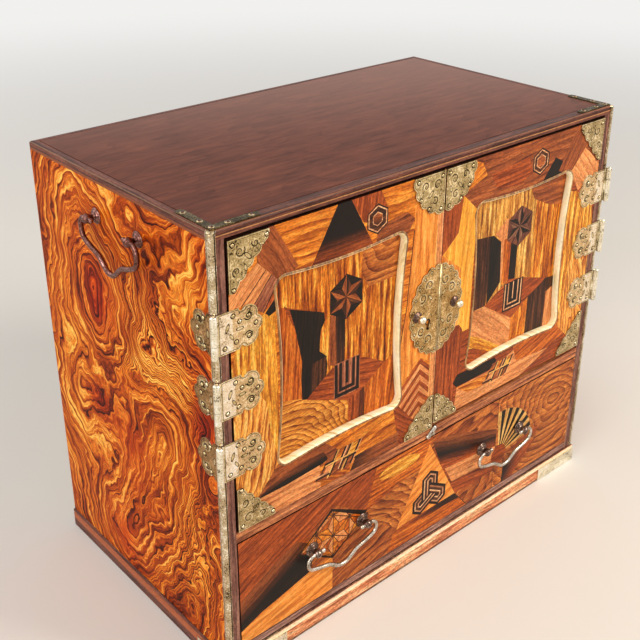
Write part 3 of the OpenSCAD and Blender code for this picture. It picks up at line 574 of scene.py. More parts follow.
def beadPath(mirror, stepsCorner=14, stepsSide=16):
    middleX = (door["edge"] + door["free"]) / 2
    middleZ = (door["leftLow"] + door["top"]) / 2
    cx = middleX - door["free"] - bead["margin"] - bead["corner"]
    cz = (door["top"] - door["leftLow"]) / 2 - bead["margin"] - bead["corner"]
    reach = bead["side"] + bead["corner"]
    sideX = cx + math.sqrt(reach ** 2 - cz ** 2)
    sideZ = cz + math.sqrt(reach ** 2 - cx ** 2)
    a, b = math.asin(cz / reach), math.asin(cx / reach)
    quarter, half = math.pi / 2, math.pi

    def arc(x, z, r, start, end, steps):
        t = start + (end - start) * np.arange(steps) / steps
        return np.stack([x + r * np.cos(t), z + r * np.sin(t)], 1)

    k, r = bead["corner"], bead["side"]
    path = np.concatenate([
        arc(cx, cz, k, -a, quarter + b, stepsCorner),
        arc(0, sideZ, r, 3 * quarter + b, 3 * quarter - b, stepsSide),
        arc(-cx, cz, k, quarter - b, half + a, stepsCorner),
        arc(-sideX, 0, r, a, -a, stepsSide),
        arc(-cx, -cz, k, half - a, 3 * quarter + b, stepsCorner),
        arc(0, -sideZ, r, quarter + b, quarter - b, stepsSide),
        arc(cx, -cz, k, 3 * quarter - b, 4 * quarter + a, stepsCorner),
        arc(sideX, 0, r, half + a, half - a, stepsSide)])
    return path + [middleX if mirror else -middleX, middleZ]


# A closed anticlockwise outline moved inwards by a distance, with mitred corners
def inset(points, distance):
    points = np.asarray(points, float)
    way = np.roll(points, -1, 0) - points
    out = np.stack([way[:, 1], -way[:, 0]], 1) / np.linalg.norm(way, axis=1)[:, None]
    before = np.roll(out, 1, 0)
    mitre = np.maximum(1 + (out * before).sum(1), 0.4)[:, None]
    return points - distance * (out + before) / mitre


# ---- left door ----
leftDoor = [
    veneer("amberZelkova", box(-door["edge"], door["leftLow"], -door["free"], door["top"])),
    # yellow strip beside the panel, knotty lower down
    veneer("yellowMulberry", [-194, 256, -190, 271, -166.4, 289.3, -157.3, 285.6, -155, 168,
        -176.4, 147.5, -194, 163.8], 90),
    veneer("knottyMulberry", [-194, 236, -176, 238, -166, 222, -163, 196, -155, 168, -176.4, 147.5,
        -194, 163.8], 80),
    # four salmon steps under the corner plate
    veneer("salmonCedar", [-194, 300, -194, 309, -171, 326.5, -163.5, 320, -184, 300], 46),
    veneer("salmonCedar", [-184, 300, -163.5, 320, -159, 315.5, -176, 296], 40),
    veneer("pinkCherry", [-176, 296, -159, 315.5, -154, 309.5, -167, 290], 50),
    veneer("redQuince", [-167, 290, -154, 309.5, -153.6, 302, -160, 294], 52),
    strip("brownEbony", (-184, 300), (-163.5, 320), 0.8),
    strip("brownEbony", (-176, 296), (-159, 315.5), 0.8),
    strip("brownEbony", (-167, 290), (-154, 309.5), 0.8),
    veneer("ebony", [-165.5, 289.3, -156.3, 298, -154, 289, -162.4, 286], 30),
    veneer("plumWood", [-171, 347.5, -157.3, 348.4, -137.3, 313.8, -148.2, 310, -154, 309,
        -171, 326.5], -58),
    # black triangle above the panel, brown at its foot
    veneer("redQuince", [-103.5, 347.8, -91.5, 347.8, -70, 309, -127, 309], sand=(-97, 306, -97,
        326, 1.0)),
    veneer("redQuince", [-91.5, 347.5, -64, 347.5, -58, 335, -70, 325, -80, 328.5], 82),
    veneer("plumWood", [-66, 322, -38, 325, -30, 318, -36, 308, -68, 309], 5),
    *hexagons(-66.9, 327.5, ("ebony", 11.4), ("paleCherry", 10.2), ("brownEbony", 9.1),
        ("paleCherry", 5.4)),
    veneer("plumWood", regular(-66.9, 327.5, 4.6, 6, 30), sand=(-66.9, 331.5, -66.9, 323.5, 0.8)),
    # along the meeting line
    veneer("brightZelkova", [-30, 328, -0.8, 328, -0.8, 190, -17, 199, -41, 180, -41, 213,
        -34.5, 249, -30, 309], 88),
    strip("brownEbony", (-30, 309), (-34.5, 249), 0.9, 90),
    strip("brownEbony", (-34.5, 249), (-41, 213), 0.9, 90),
]
# inverted V bands below the lock plate
for band in range(5):
    apex = 199 - band * 9.6
    for kind, low, high in (("redQuince", apex - 5, apex), ("salmonCedar", apex - 9.6, apex - 5)):
        leftDoor += [
            veneer(kind, [(-17, low), (-17, high), (-40, high - 21), (-40, low - 21)], 42),
            veneer(kind, [(-17, low), (-17, high), (-0.8, high - 16), (-0.8, low - 16)], -42)]
leftDoor += [
    veneer("redQuince", [-40, 166, -37.5, 163, -19, 142, -19, 128, -44, 128, -60, 150, -56, 166],
        -40),
    veneer("plumWood", [-177, 147.5, -157, 169, -56, 169, -56, 150, -112, 150]),
    veneer("amberZelkova", [-113, 165, -77, 168, -45, 166, -40, 141, -85, 140], 8),
    veneer("plumWood", [-176, 147.5, -153.6, 160, -116, 160, -111, 151, -119, 148, -150, 146.5], 4,
        sand=(-140, 161, -139, 150, 1.0)),
    veneer("ebony", [-176, 147.5, -150, 152.5, -126, 151.5, -111, 150.5, -119, 148.5, -150, 146.8],
        4),
    veneer("salmonCedar", [-176, 147.5, -150, 147.2, -119, 149, -118, 128, -165, 128], -3),
    veneer("plumWood", [-92, 127, -84, 140.5, -38, 141.5, -38, 127], sand=(-55, 135, -88, 135,
        0.85)),
    veneer("amberZelkova", [-126.5, 137, -84, 138.5, -90, 127, -100, 127], -25),
    strip("redQuince", (-120, 137), (-100, 128), 2.4, -25),
    strip("redQuince", (-111, 137.4), (-93, 129), 2.4, -25),
    strip("redQuince", (-102, 138), (-89, 131.5), 2.2, -25),
]
leftDoor += slantedLattice(-105.5, 145.0)
leftDoor += [
    veneer("salmonCedar", box(-5.6, 128, -0.8, 348), 90),
    strip("boxwood", (-5.8, 128), (-5.8, 348), 0.7, 90),
    veneer(None, inset(beadPath(False), -0.9)),
]
veneerPlane = (0, door["face"] - door["rise"], 0)
panelPlane = (0, door["face"] + bead["deep"] - door["rise"], 0)
layMarquetry("marquetryLeft", leftDoor, veneerPlane, "left_door", 3)
# the sunk panel, drawn where it is seen through its opening and then moved by its depth
leftPanel = [
    veneer("stripedZelkova", [-160, 320, -30, 320, -30, 150, -160, 150], 90),
    veneer("orangeZelkova", [-160, 292, -147.3, 287, -141.8, 271.1, -138.2, 254.7, -135.5, 242,
        -136.4, 227.5, -135.5, 211.1, -128, 205, -160, 217], 86),
    veneer("zelkovaRings", [-74, 279, -81, 292, -80, 313, -30, 313, -30, 279], centre=(-52, 315)),
    veneer("stripedZelkova", [-74, 279, -30, 279, -30, 212, -55.5, 211.1, -75, 222, -95, 228,
        -96, 262], 89),
    veneer("orangeZelkova", [-75.5, 198, -79, 196.5, -55.5, 211.1, -30, 222, -30, 160, -75.5, 160],
        84),
    veneer("burlMulberry", [-160, 219, -130, 210.5, -108, 202, -91.8, 192, -91.8, 160, -160, 160],
        centre=(-151, 163)),
    # standing dark form
    veneer("redQuince", [-151, 289.5, -147.3, 287, -128, 278.5, -143, 272], -30),
    veneer("ebony", [-146, 285.5, -130, 279, -115.5, 272.9, -114.6, 266.5, -118.2, 260.2,
        -119.1, 252.9, -119.5, 243.8, -113.6, 238.4, -112.2, 231.1, -113.6, 220.2, -130, 209.3,
        -135.5, 211.1, -136.4, 227.5, -135.5, 242, -138.2, 254.7, -141.8, 271.1], 85),
    veneer("brownEbony", [-127, 213, -127, 236, -113, 238, -113.6, 220.2], 88),
    veneer("plumWood", [-110, 268, -103, 268, -103, 226, -111, 229], 88),
    veneer("brownEbony", [-105, 268, -96, 268, -96, 226, -103.5, 226], 90, sand=(-106, 250, -96,
        252, 0.9)),
    veneer("redQuince", [-131.8, 209.3, -108, 225.6, -82.7, 226.5, -55.5, 211.1, -79, 196.5,
        -91.8, 192.8], -14),
    veneer("redQuince", [-91.8, 192.8, -79, 196.5, -75.5, 198, -75.5, 160, -91.8, 160], 88,
        sand=(-86, 180, -76, 180, 0.75)),
]
leftPanel += nestedFret(-105.9, 198.0, -80.8, 227.5, "pinkCherry", "ebony", 2.9)
leftPanel += hexagons(-94.9, 278, ("ebony", 17.6))
leftPanel += star(-94.9, 278, 17.2, 8.6, "plumWood", "brownEbony")
leftPanel = [veneer("stripedZelkova", inset(beadPath(False), 2.4), 90),
    *moved(leftPanel, 4.1, -3.5)]
layMarquetry("marquetryPanelLeft", leftPanel, panelPlane, "left_door", 4)

# ---- right door ----
rightDoor = [
    veneer("redQuince", box(door["free"], door["rightLow"], door["edge"], door["top"]), 2),
    # top band and its hexagon
    veneer("plumWood", [20, 348, 194, 348, 194, 300, 36.4, 307, 21.8, 322], 3),
    veneer("amberZelkova", [28, 348, 41, 343, 47, 332, 30, 326, 20, 322, 20, 348], 20),
    veneer("redQuince", [52, 331, 96, 335, 103, 322, 88, 314, 60, 318], 4),
    veneer("ebony", [116, 309, 131, 327, 160, 312, 160, 305], sand=(150, 310, 120, 315, 1.0)),
    *hexagons(112.2, 327.8, ("ebony", 11.6), ("paleCherry", 10.2), ("brownEbony", 9.1),
        ("paleCherry", 6.2), ("plumWood", 5.3)),
    # along the meeting line
    veneer("redQuince", [0, 330, 21.8, 330, 18.2, 293, 1.8, 279.3, 0, 279], 89),
    veneer("brightZelkova", [0, 280, 1.8, 279.3, 20, 292, 25, 270, 24, 205, 0, 205], 88),
    veneer("goldMulberry", [21.8, 322, 38, 307, 38, 205, 24, 205, 24, 262, 1.8, 279.3, 18.2, 293],
        88),
    veneer("redQuince", [0, 213, 25.5, 213, 30, 207, 30, 166, 23, 160, 26, 132, 0, 132], 89),
    # under the panel
    veneer("salmonCedar", [26, 133, 28, 154, 74, 154, 110, 166, 160, 170, 160, 150, 110, 132], 4),
    veneer("amberZelkova", [28, 154, 42, 144, 70, 143, 66, 152], -12),
    veneer("orangeZelkova", [98, 166, 160, 170, 194, 196, 194, 165, 150, 146, 104, 150], 18),
    veneer("ebony", [22.7, 160, 27.3, 166.5, 74.5, 164.5, 77, 160.5, 71, 154.7, 27.3, 154.7], 2),
    # the outer strip, a mirror of the other door's
    veneer("yellowMulberry", [194, 256, 190, 271, 166.4, 289.3, 155, 292, 155, 168, 176.4, 147.5,
        194, 163.8], 90),
    veneer("knottyMulberry", [194, 236, 176, 238, 166, 222, 163, 196, 155, 168, 176.4, 147.5,
        194, 163.8], 100),
    veneer("salmonCedar", [194, 300, 194, 309, 171, 326.5, 154, 309, 167, 290], 134),
    veneer("plumWood", [171, 347.5, 157.3, 348.4, 137.3, 313.8, 148.2, 310, 154, 309, 171, 326.5],
        58),
]
rightDoor += slantedLattice(75.6, 151.3, 0.86)
rightDoor.append(veneer(None, inset(beadPath(True), -0.9)))
layMarquetry("marquetryRight", rightDoor, veneerPlane, "right_door", 11)
rightPanel = [
    veneer("stripedZelkova", [20, 320, 170, 320, 170, 150, 20, 150], 90),
    veneer("dashedMulberry", [30, 320, 112, 320, 112, 206, 88, 222, 30, 222], 90),
    veneer("plumWood", [100, 314, 165, 314, 165, 280, 128, 288, 108, 298]),
    veneer("salmonCedar", [62, 280, 76, 290, 82, 282, 78, 271.5, 75.5, 236, 71.8, 234.7, 70, 271],
        84),
    veneer("brownEbony", [38, 282, 60, 279.3, 56, 219, 52.7, 218.4, 34, 219.3, 34, 282], 90),
    veneer("ebony", [56, 279.6, 60, 279.3, 70, 271, 72.5, 234.7, 57, 219], 88),
    veneer("orangeZelkova", [73.6, 272, 82.7, 272, 82.7, 233, 74.5, 232], 88),
    veneer("ebony", [82.7, 272, 91.5, 272, 91.5, 232, 82.7, 232], 90),
    veneer("salmonCedar", [32, 219, 59, 218.6, 90.9, 195.6, 90.9, 160, 32, 160], -38),
    veneer("yellowMulberry", [32, 200, 48, 193, 66, 182, 84, 170, 60, 160, 32, 160], -30),
    veneer("redQuince", [32, 186, 44, 184, 64, 174, 66, 160, 32, 160], -20),
    veneer("redQuince", [55, 218.4, 83.6, 233.8, 103.6, 229.3, 135, 219, 111.8, 208, 90.9, 195.6],
        12),
    veneer("amberZelkova", [90.9, 195.6, 111.8, 208, 111.8, 160, 91.5, 160], 88),
    veneer("brownEbony", [111.8, 208, 135, 219, 160, 216, 160, 212, 137, 205, 137, 160, 111.8, 160],
        90),
    veneer("salmonCedar", [137, 205, 160, 213, 160, 160, 137, 160], 86),
]
rightPanel += nestedFret(78.5, 204.2, 103, 230.5, "ebony", "paleCherry", 1.3)
rightPanel += [veneer("rosewood", regular(92.4, 278.7, 17.6, 6, 30), 60)]
rightPanel += star(92.4, 278.7, 17.2, 8.6, "stileRosewood", "ebony")
rightPanel = [veneer("stripedZelkova", inset(beadPath(True), 2.4), 90),
    *moved(rightPanel, 6.1, -3.5)]
layMarquetry("marquetryPanelRight", rightPanel, panelPlane, "right_door", 12)

# ---- drawer front ----
drawer = {"side": 194.2, "low": 25.2, "high": 118.5}
drawerFront = [
    veneer("walnutRings", box(-drawer["side"], drawer["low"], drawer["side"], drawer["high"]), 18,
        centre=(-62, 12)),
    veneer("redQuince", [-196, 58, -196, 84, -142, 92, -128, 78, -150, 60], 30),
    veneer("redQuince", [-196, 84, -142, 80, -106, 106, -70, 82, -40, 88, -60, 120, -196, 120], 24),
    veneer("zelkovaRings", [-70, 82, -30, 92, -12, 86, -34.2, 45.3, -62, 66], -16,
        centre=(-90, 30)),
    veneer("orangeZelkova", [-60, 120, -70, 84, -30, 92, -9, 92, -0.3, 112, 4, 120], 2),
    veneer("yellowMulberry", regular(0, 0, 1, 28) * [23, 6.5] + [-35, 107]),
    veneer("brightZelkova", [-196, 20, -105.8, 20, -105.8, 60, -128, 56, -165, 50, -196, 38], 12),
    veneer("plumWood", [-196, 64, -196, 40, -128, 56, -124, 79, -142, 92, -170, 80], 28, sand=(-173,
        80, -162, 60, 1.0)),
    veneer("ebony", [-196, 41, -196, 37, -165, 49, -128, 56, -127, 77, -146, 69, -166, 56], 24),
    veneer("ebony", [-107.4, 103.4, -70, 83, -72, 79.4, -105.6, 55.4, -140, 77]),
]
lozenge = veneer("amberZelkova", [-106.4, 100.6, -138.8, 77.3, -105.5, 57.4, -72.6, 79.4], 2)
drawerFront.append(lozenge)
# hemp leaf: upright-edged triangles of three facets each, all cut to the lozenge
edge = 19.1
facets = ("amberZelkova", "salmonCedar", "orangeZelkova")
lines = []
for column in range(-3, 4):
    for row in range(-3, 4):
        x, z = -105.4 + column * edge * 0.866, 77.3 + edge * (row + 0.5 * (column % 2))
        for k, way in enumerate((1, -1)):
            shape = [(x, z), (x, z + edge), (x + way * edge * 0.866, z + edge / 2)]
            middle = np.mean(shape, 0)
            for m, (a, b) in enumerate(zip(shape, shape[1:] + shape[:1])):
                drawerFront.append(veneer(facets[(m + k + column) % 3], [a, b, middle],
                    60 * m + 30 * k, inside=lozenge))
                lines.append(strip("brownEbony", a, b, 0.8, inside=lozenge))
                lines.append(strip("brownEbony", middle, a, 0.65, inside=lozenge))
drawerFront += lines
drawerFront += [
    # middle triangle with its shadow
    veneer("redQuince", [4, 104, 86, 82, 86, 44, 34.4, 45.3, 12, 88], -8),
    veneer("salmonCedar", [20, 78, 86, 72, 86, 56, 30, 60], -4),
    veneer("plumWood", [3, 113, 30, 109, 86, 88, 86, 81, 10, 95], -14, sand=(47, 106, 41, 87, 1.0)),
    veneer("redQuince", [10, 95, 86, 81, 86, 70, 15, 85], -14, sand=(46, 74, 49, 89, 1.0)),
    veneer("orangeZelkova", [-40, 42, -34.2, 45.3, 34.4, 45.3, 52.5, 24, -46, 24]),
    veneer("brightZelkova", [-0.3, 112, -36, 44.5, 35.4, 44.5], 24),
    veneer("redQuince", [-33, 45.5, 34.4, 45.5, 40.5, 38, -14, 41], sand=(-26, 44, 20, 43, 0.95)),
    strip("brownEbony", (35.4, 44.5), (52.5, 24), 0.7),
]
# three-armed key figure: nested hairpins about one centre. Each third of the plane shows the
# long leg of its own arm over the short leg of the arm before it.
key = {"x": 2.4, "z": 62.0, "half": 9.6, "tip": 23.0, "layers": (("ebony", 0), ("paleCherry", 2.5),
    ("brownEbony", 3.8), ("paleCherry", 6.3), ("brownEbony", 7.6))}


def turned(points, degrees, x, z):
    a = math.radians(degrees)
    return np.asarray(points, float) @ np.array([[math.cos(a), math.sin(a)],
        [-math.sin(a), math.cos(a)]]) + [x, z]


for turn in (90, 210, 330):
    third = veneer("mask", turned([(0, 0), (40, 0), (40, 40), (-23.1, 40)], turn, key["x"],
        key["z"]))
    drawerFront.append(third)
    for arm in (turn + 120, turn):
        for kind, deep in key["layers"]:
            w, tip = key["half"] - deep, key["tip"] - deep * 1.155
            back = -14.0 if arm == turn else 0.0
            hairpin = [(back, -w), (tip - w * 0.577, -w), (tip, 0), (tip - w * 0.577, w), (back, w)]
            drawerFront.append(veneer(kind, turned(hairpin, arm, key["x"], key["z"]), arm,
                inside=third))
drawerFront += [
    veneer("zelkovaRings", [85.8, 120, 196, 120, 196, 24, 85.8, 24], centre=(166, 84)),
    strip("brownEbony", (85.8, 24), (85.8, 120), 0.5),
    veneer("redQuince", [98.3, 24, 99.7, 43.9, 112, 53.6, 146, 52.2, 118, 30, 112, 24], 30,
        sand=(122, 37, 107, 46, 1.0)),
    veneer("redQuince", [100, 56, 146, 66, 146, 60, 112, 53.6]),
]
# the fan: ribs of two woods by turns, from its pivot
fan = {"x": 91.4, "z": 59.2, "reach": 45.0, "from": 97.0, "to": 8.0, "ribs": 13, "boss": 10}
edges = np.linspace(fan["from"], fan["to"], fan["ribs"] + 1)
for rib, (a, b) in enumerate(zip(edges[:-1], edges[1:])):
    a, b = math.radians(a), math.radians(b)
    drawerFront.append(veneer("boxwood" if rib % 2 == 0 else "ebony", [(fan["x"], fan["z"])]
        + [(fan["x"] + fan["reach"] * math.cos(t), fan["z"] + fan["reach"] * math.sin(t))
            for t in (a, (a + b) / 2, b)], math.degrees((a + b) / 2)))
drawerFront.append(veneer("redQuince", regular(fan["x"], fan["z"], fan["boss"], 24)))
layMarquetry("marquetryDrawer", drawerFront, veneerPlane, "drawer", 23)
print("marquetry laid")


# ---- figured side panels ----
# Ring attribute: a smooth least distance to a few pith lines, with slow sways, so that its
# equal lines close round each pith and nest between them. u runs forwards, z upwards.
sidePanel = {"front": -104.1, "back": 120.5, "low": 17.0, "high": 349.5, "step": 2.0, "rows": 167,
    "middle": 5.5}
# pith lines from one point to another, and how far each one's rings hold back
piths = {
    "Left": [((-38, 242), (-37, 268), 0.0), ((48, 172), (-12, 62), 14.0),
        ((52, 405), (18, 420), 26.0), ((-70, 168), (-48, 172), 30.0),
        ((128, 20), (134, 120), 40.0)],
    "Right": [((30, 236), (22, 262), 0.0), ((-30, 170), (10, 74), 12.0),
        ((-40, 396), (6, 410), 24.0), ((84, 150), (70, 166), 30.0),
        ((-122, 40), (-130, 150), 36.0)],
}


def ringField(u, z, pithLines):
    total = 0.0
    for (ua, za), (ub, zb), start in pithLines:
        length = (ub - ua) ** 2 + (zb - za) ** 2
        t = np.clip(((u - ua) * (ub - ua) + (z - za) * (zb - za)) / length, 0, 1)
        away = np.hypot((u - ua - t * (ub - ua)) * 1.25, z - za - t * (zb - za))
        total = total + np.exp(-(away + start) / 15)
    curl = 0.25 + 1.3 * np.exp(-((u - 30) / 45) ** 2 - ((z - 252) / 42) ** 2)
    return (-15 * np.log(total) + 6 * np.sin(u / 21 + z / 43) + 4 * np.sin(z / 17 - u / 35 + 1)
        + curl * (2.4 * np.sin(u / 7.5 + 2 * np.sin(z / 21)) + 1.8 * np.sin(z / 6.3
            + 1.5 * np.sin(u / 17))))


# Zones of a side panel: middle u and z, radii, how much brighter (1) or darker (-1) the wood is
# there, and how calm: 1 is smooth wood, -1 is wood full of fine lines
sideZones = [(-35, 258, 15, 24, -0.9, 0.5), (84, 312, 30, 22, 0.8, 0.5),
    (4, 300, 34, 20, -0.15, -0.3), (28, 258, 24, 30, -0.05, -1.0), (34, 222, 48, 11, 1.0, -0.7),
    (66, 248, 24, 34, 0.2, -0.8), (0, 128, 18, 26, -0.35, 1.0), (2, 154, 46, 16, -0.4, 0.4),
    (-24, 44, 15, 24, -0.6, 1.0),
    (82, 100, 26, 54, 0.6, -0.9), (-47, 164, 16, 13, -0.7, -0.3), (-66, 205, 24, 26, 0.3, 0.3),
    (100, 212, 17, 50, -1.0, -0.3), (106, 330, 16, 30, -0.5, 0.4), (0, 50, 110, 56, -0.2, 0.0),
    (-34, 256, 26, 44, -0.3, 0.0), (-60, 320, 30, 24, 0.1, 0.5),
    (46, 44, 26, 22, 0.3, -0.3), (46, 165, 26, 24, 0.5, 0.3), (-80, 110, 24, 60, 0.2, 0.4)]


def zoneField(u, z, column):
    total = 0.0 * u
    for middleU, middleZ, wide, high, *amounts in sideZones:
        total = total + amounts[column] * np.exp(-((u - middleU) / wide) ** 2
            - ((z - middleZ) / high) ** 2)
    return np.clip(total, -1, 1)


# Figured wood: soft and fine lines at equal ring values, and streaks that run along them
def figuredWood():
    made, tree = newMaterial("figuredZelkova")
    place = inMillimetres(tree)
    ring, bright, calm = (add(tree, "Attribute", {}, out="Fac", attribute_name=n)
        for n in ("ring", "bright", "calm"))
    sway = add(tree, "TexNoise", {"Vector": place, "Scale": 0.045, "Detail": 2, "Roughness": 0.5})
    sway = add(tree, "MapRange", {"Value": sway, "From Min": 0.25, "From Max": 0.75,
        "To Min": -7, "To Max": 7})
    ring = add(tree, "Math", {0: ring, 1: sway}, operation="ADD")
    jag = add(tree, "TexNoise", {"Vector": place, "Scale": 0.22, "Detail": 2})
    jag = add(tree, "Math", {0: jag, 1: 2.6, 2: ring}, operation="MULTIPLY_ADD")
    axes = add(tree, "SeparateXYZ", {0: place}, out=None)
    flow = add(tree, "CombineXYZ", {"X": ring, "Y": axes["Y"], "Z": axes["Z"]})
    # soft growth rings 9 mm apart, and fine ones 2.6 mm apart where the wood isn't calm
    lines = [add(tree, "ValToRGB", {"Fac": add(tree, "Math", {0: add(tree, "Math", {0: source,
        1: pitch}, operation="DIVIDE")}, operation="FRACT")}, stops=[(0, 0.0), (0.45, 0.2),
        (0.8, 0.6), (0.93, 1.0), (1, 0.05)]) for source, pitch in ((ring, 9.0), (jag, 2.6))]
    streak, broad, fibre = (add(tree, "TexNoise", {"Vector": add(tree, "Mapping", {"Vector": flow,
        "Scale": (a, b, b)}), "Scale": 1, "Detail": detail, "Roughness": rough})
        for a, b, detail, rough in ((0.2, 0.018, 6, 0.7), (0.05, 0.009, 2, 0.5),
            (1.7, 0.25, 4, 0.65)))
    # the share of fine lines and of lines at all, the contrast, streaks, broad bands, fibres,
    # and the zone where the wood is redder
    fine, where, spread, streak, broad, shade, zone = (add(tree, "MapRange", {"Value": source,
        "From Min": a, "From Max": b, "To Min": low, "To Max": high})
        for source, a, b, low, high in ((calm, -0.7, 0.3, 0.75, 0.12),
            (calm, -0.8, 0.9, 0.75, 0.25), (calm, -0.5, 1, 1.6, 0.8), (streak, 0.36, 0.64, 0, 1),
            (broad, 0.3, 0.7, 0.18, -0.16), (fibre, 0.34, 0.66, 0.58, 1.3),
            (bright, -0.9, 0.2, 0, 1)))
    late = add(tree, "Mix", {0: fine, 2: lines[0], 3: lines[1]})
    tone = add(tree, "Mix", {0: where, 2: streak, 3: late})
    tone = add(tree, "Math", {0: tone, 1: spread}, operation="MULTIPLY")
    tone = add(tree, "Math", {0: bright, 1: -0.2, 2: tone}, operation="MULTIPLY_ADD")
    tone = add(tree, "Math", {0: tone, 1: 0.1}, operation="SUBTRACT")
    tone = add(tree, "Math", {0: tone, 1: broad}, operation="ADD")
    colour = add(tree, "ValToRGB", {"Fac": tone}, stops=[(0.0, "#FFC458"), (0.22, "#E48424"),
        (0.46, "#B54C0C"), (0.74, "#6E2204"), (0.98, "#240802")])
    zone = add(tree, "ValToRGB", {"Fac": zone}, stops=[(0.0, "#E89A6E"), (1.0, "#FFFFFF")])
    colour = add(tree, "VectorMath", {0: colour, 1: zone}, operation="MULTIPLY")
    colour = add(tree, "VectorMath", {0: colour, "Scale": shade}, operation="SCALE")
    bump = add(tree, "Bump", {"Height": fibre, "Strength": 0.15, "Distance": 0.0001})
    shader = add(tree, "BsdfPrincipled", {"Base Color": colour, "Roughness": 0.42, "Normal": bump,
        "Specular IOR Level": 0.05})
    add(tree, "OutputMaterial", {"Surface": shader})
    return made


figured = figuredWood()
for side, label in ((-1, "Left"), (1, "Right")):
    ys = np.arange(sidePanel["front"], sidePanel["back"] + 0.01, sidePanel["step"])
    zs = np.linspace(sidePanel["low"], sidePanel["high"], sidePanel["rows"])
    y, z = (v.ravel() for v in np.meshgrid(ys, zs))
    points = np.stack([np.full(len(y), side * (caseSide + door["rise"])), y, z], 1)
    faces = np.array(gridFaces(len(zs), len(ys), closeColumns=False))
    faces = faces[:, ::-1] if side < 0 else faces
    sheet = makePiece("figuredSide" + label, points, faces.tolist(), [figured], "case",
        smooth=False)
    forwards = sidePanel["middle"] - y
    fields = {"ring": ringField(forwards, z, piths[label]),
        "bright": zoneField(-side * forwards, z, 0), "calm": zoneField(-side * forwards, z, 1)}
    for field, values in fields.items():
        sheet.data.attributes.new(field, "FLOAT", "POINT").data.foreach_set("value",
            values.astype(np.float32))
    thicken(sheet)
print("side panels figured")


# ---- lining of each sunk panel: a low lip on the face and a round wall down to the panel ----
lip = bead["lip"] / 2
section = [(lip, -bead["deep"]), (lip, 0.15), (lip * 0.75, 0.5), (0, 0.62), (-lip * 0.75, 0.48),
    (-lip, 0.2)] + [(-lip - bead["swell"] * math.sin(a), bead["deep"] * (math.cos(a) - 1))
    for a in np.radians(np.linspace(12, 90, 9))]
for mirror, name, node, body in ((False, "liningLeft", "bead_left", "left_door"),
        (True, "liningRight", "bead_right", "right_door")):
    rings = np.stack([inset(beadPath(mirror), -u) for u, _ in section], 1)
    y = door["face"] - np.broadcast_to([v for _, v in section], rings.shape[:2])
    points = np.stack([rings[..., 0], y, rings[..., 1]], -1).reshape(-1, 3)
    faces = np.array(gridFaces(len(rings), len(section), closeRows=True))
    isWall = (faces[:, 0] % len(section) > 3).astype(int)
    makePiece(name, points, faces[:, ::-1].tolist(), [wood("brownLip", "z"), wood("paleMoulding",
        "z")], body, [node], index=isWall)


# ---- corner strips: a folded strip with a round edge, a groove along each side and dents ----
fold = {"x": 205.8, "y": -109.9, "out": 0.8, "front": 4.3, "side": 4.9, "round": 1.6,
    "bulge": 0.25, "bend": 354.0, "edge": 2.0}
t = np.radians(np.linspace(180, 270, 7))
across = np.linspace(0, 1, 6)[:-1]
legs = []
for reach in (fold["front"], fold["side"]):
    legs.append([(fold["out"], reach), (0.15, reach), (0.0, reach - 0.4), (0.1, reach - 0.7),
        (0.5, reach - 0.8), (0.5, reach - 1.1)] + [(-fold["bulge"] * math.sin(math.pi * k),
        reach - 1.2 + (fold["round"] - reach + 1.2) * k) for k in across])
curve = [(fold["round"] * (1 + math.cos(a)), fold["round"] * (1 + math.sin(a))) for a in t]
outline = np.array(legs[1] + curve + [(b, a) for a, b in legs[0][::-1]]
    + [(fold["out"], fold["out"])])
isGroove = np.zeros(len(outline), int)
isGroove[[3, 4, 5, len(outline) - 7, len(outline) - 6, len(outline) - 5]] = 1
# the strips stand between the hinges
spans = [(17.3, 174.9), (205.5, 222.9), (253.5, 270.9), (301.5, fold["bend"])]
for side, label in ((-1, "Left"), (1, "Right")):
    parts, index = [], []
    for low, high in spans:
        count = len(outline)
        # height and shift inwards of each ring; the last strip bends over the round top edge
        rings = [(low, 0), (high, 0)]
        if high > fold["bend"] - 0.1:
            rings += [(high + fold["edge"] * math.sin(a), fold["edge"] * (1 - math.cos(a)))
                for a in np.radians((30, 55, 78))]
        flat = (outline + np.array([v for _, v in rings])[:, None, None]).reshape(-1, 2)
        points = np.stack([side * (fold["x"] - flat[:, 0]), fold["y"] + flat[:, 1],
            np.repeat([h for h, _ in rings], count)], 1)
        end = (len(rings) - 1) * count
        faces = gridFaces(len(rings), count) + [list(range(count))[::-1], list(range(end,
            end + count))]
        if side > 0:
            faces = [f[::-1] for f in faces]
        parts.append((points, faces))
        index += list(isGroove) * (len(rings) - 1) + [0, 0]
    points, faces = joinParts(parts)
    makePiece("cornerStrip" + label, points, faces, [metal("stripBrass"), metal("grooveBrass")],
        "case", ["corner_strips_" + label.lower()], smooth=False, index=index)

# ---- bails ----
# half is from the middle to a post, drop the hanging depth, rod its radius, turn degrees about Z
pull = {"y": -116.0, "z": 76.2, "half": 25.5, "drop": 24.0, "rod": 1.65, "turn": 0,
    "metal": "wornNickel", "slot": "bright_metal"}
sideBail = {"y": 0.5, "z": 324.5, "half": 27.0, "drop": 33.0, "rod": 2.0, "turn": 90,
    "metal": "copperBrown", "slot": "dark_metal"}
bails = {
    "pullLeft": {"x": -101.0, "body": "left_pull", "node": "pull_left", **pull},
    "pullRight": {"x": 92.0, "body": "right_pull", "node": "pull_right", **pull},
    "bailLeft": {"x": -212.5, "body": "left_bail", "node": "bail_left", **sideBail},
    "bailRight": {"x": 212.5, "body": "right_bail", "node": "bail_right", **sideBail},
}


# Profile of a ball, from the angle first at its foot
def ballProfile(radius, centre, first=0.0, steps=12):
    return [(radius * math.sin(a), centre - radius * math.cos(a))
        for a in np.linspace(first, math.pi, steps)]


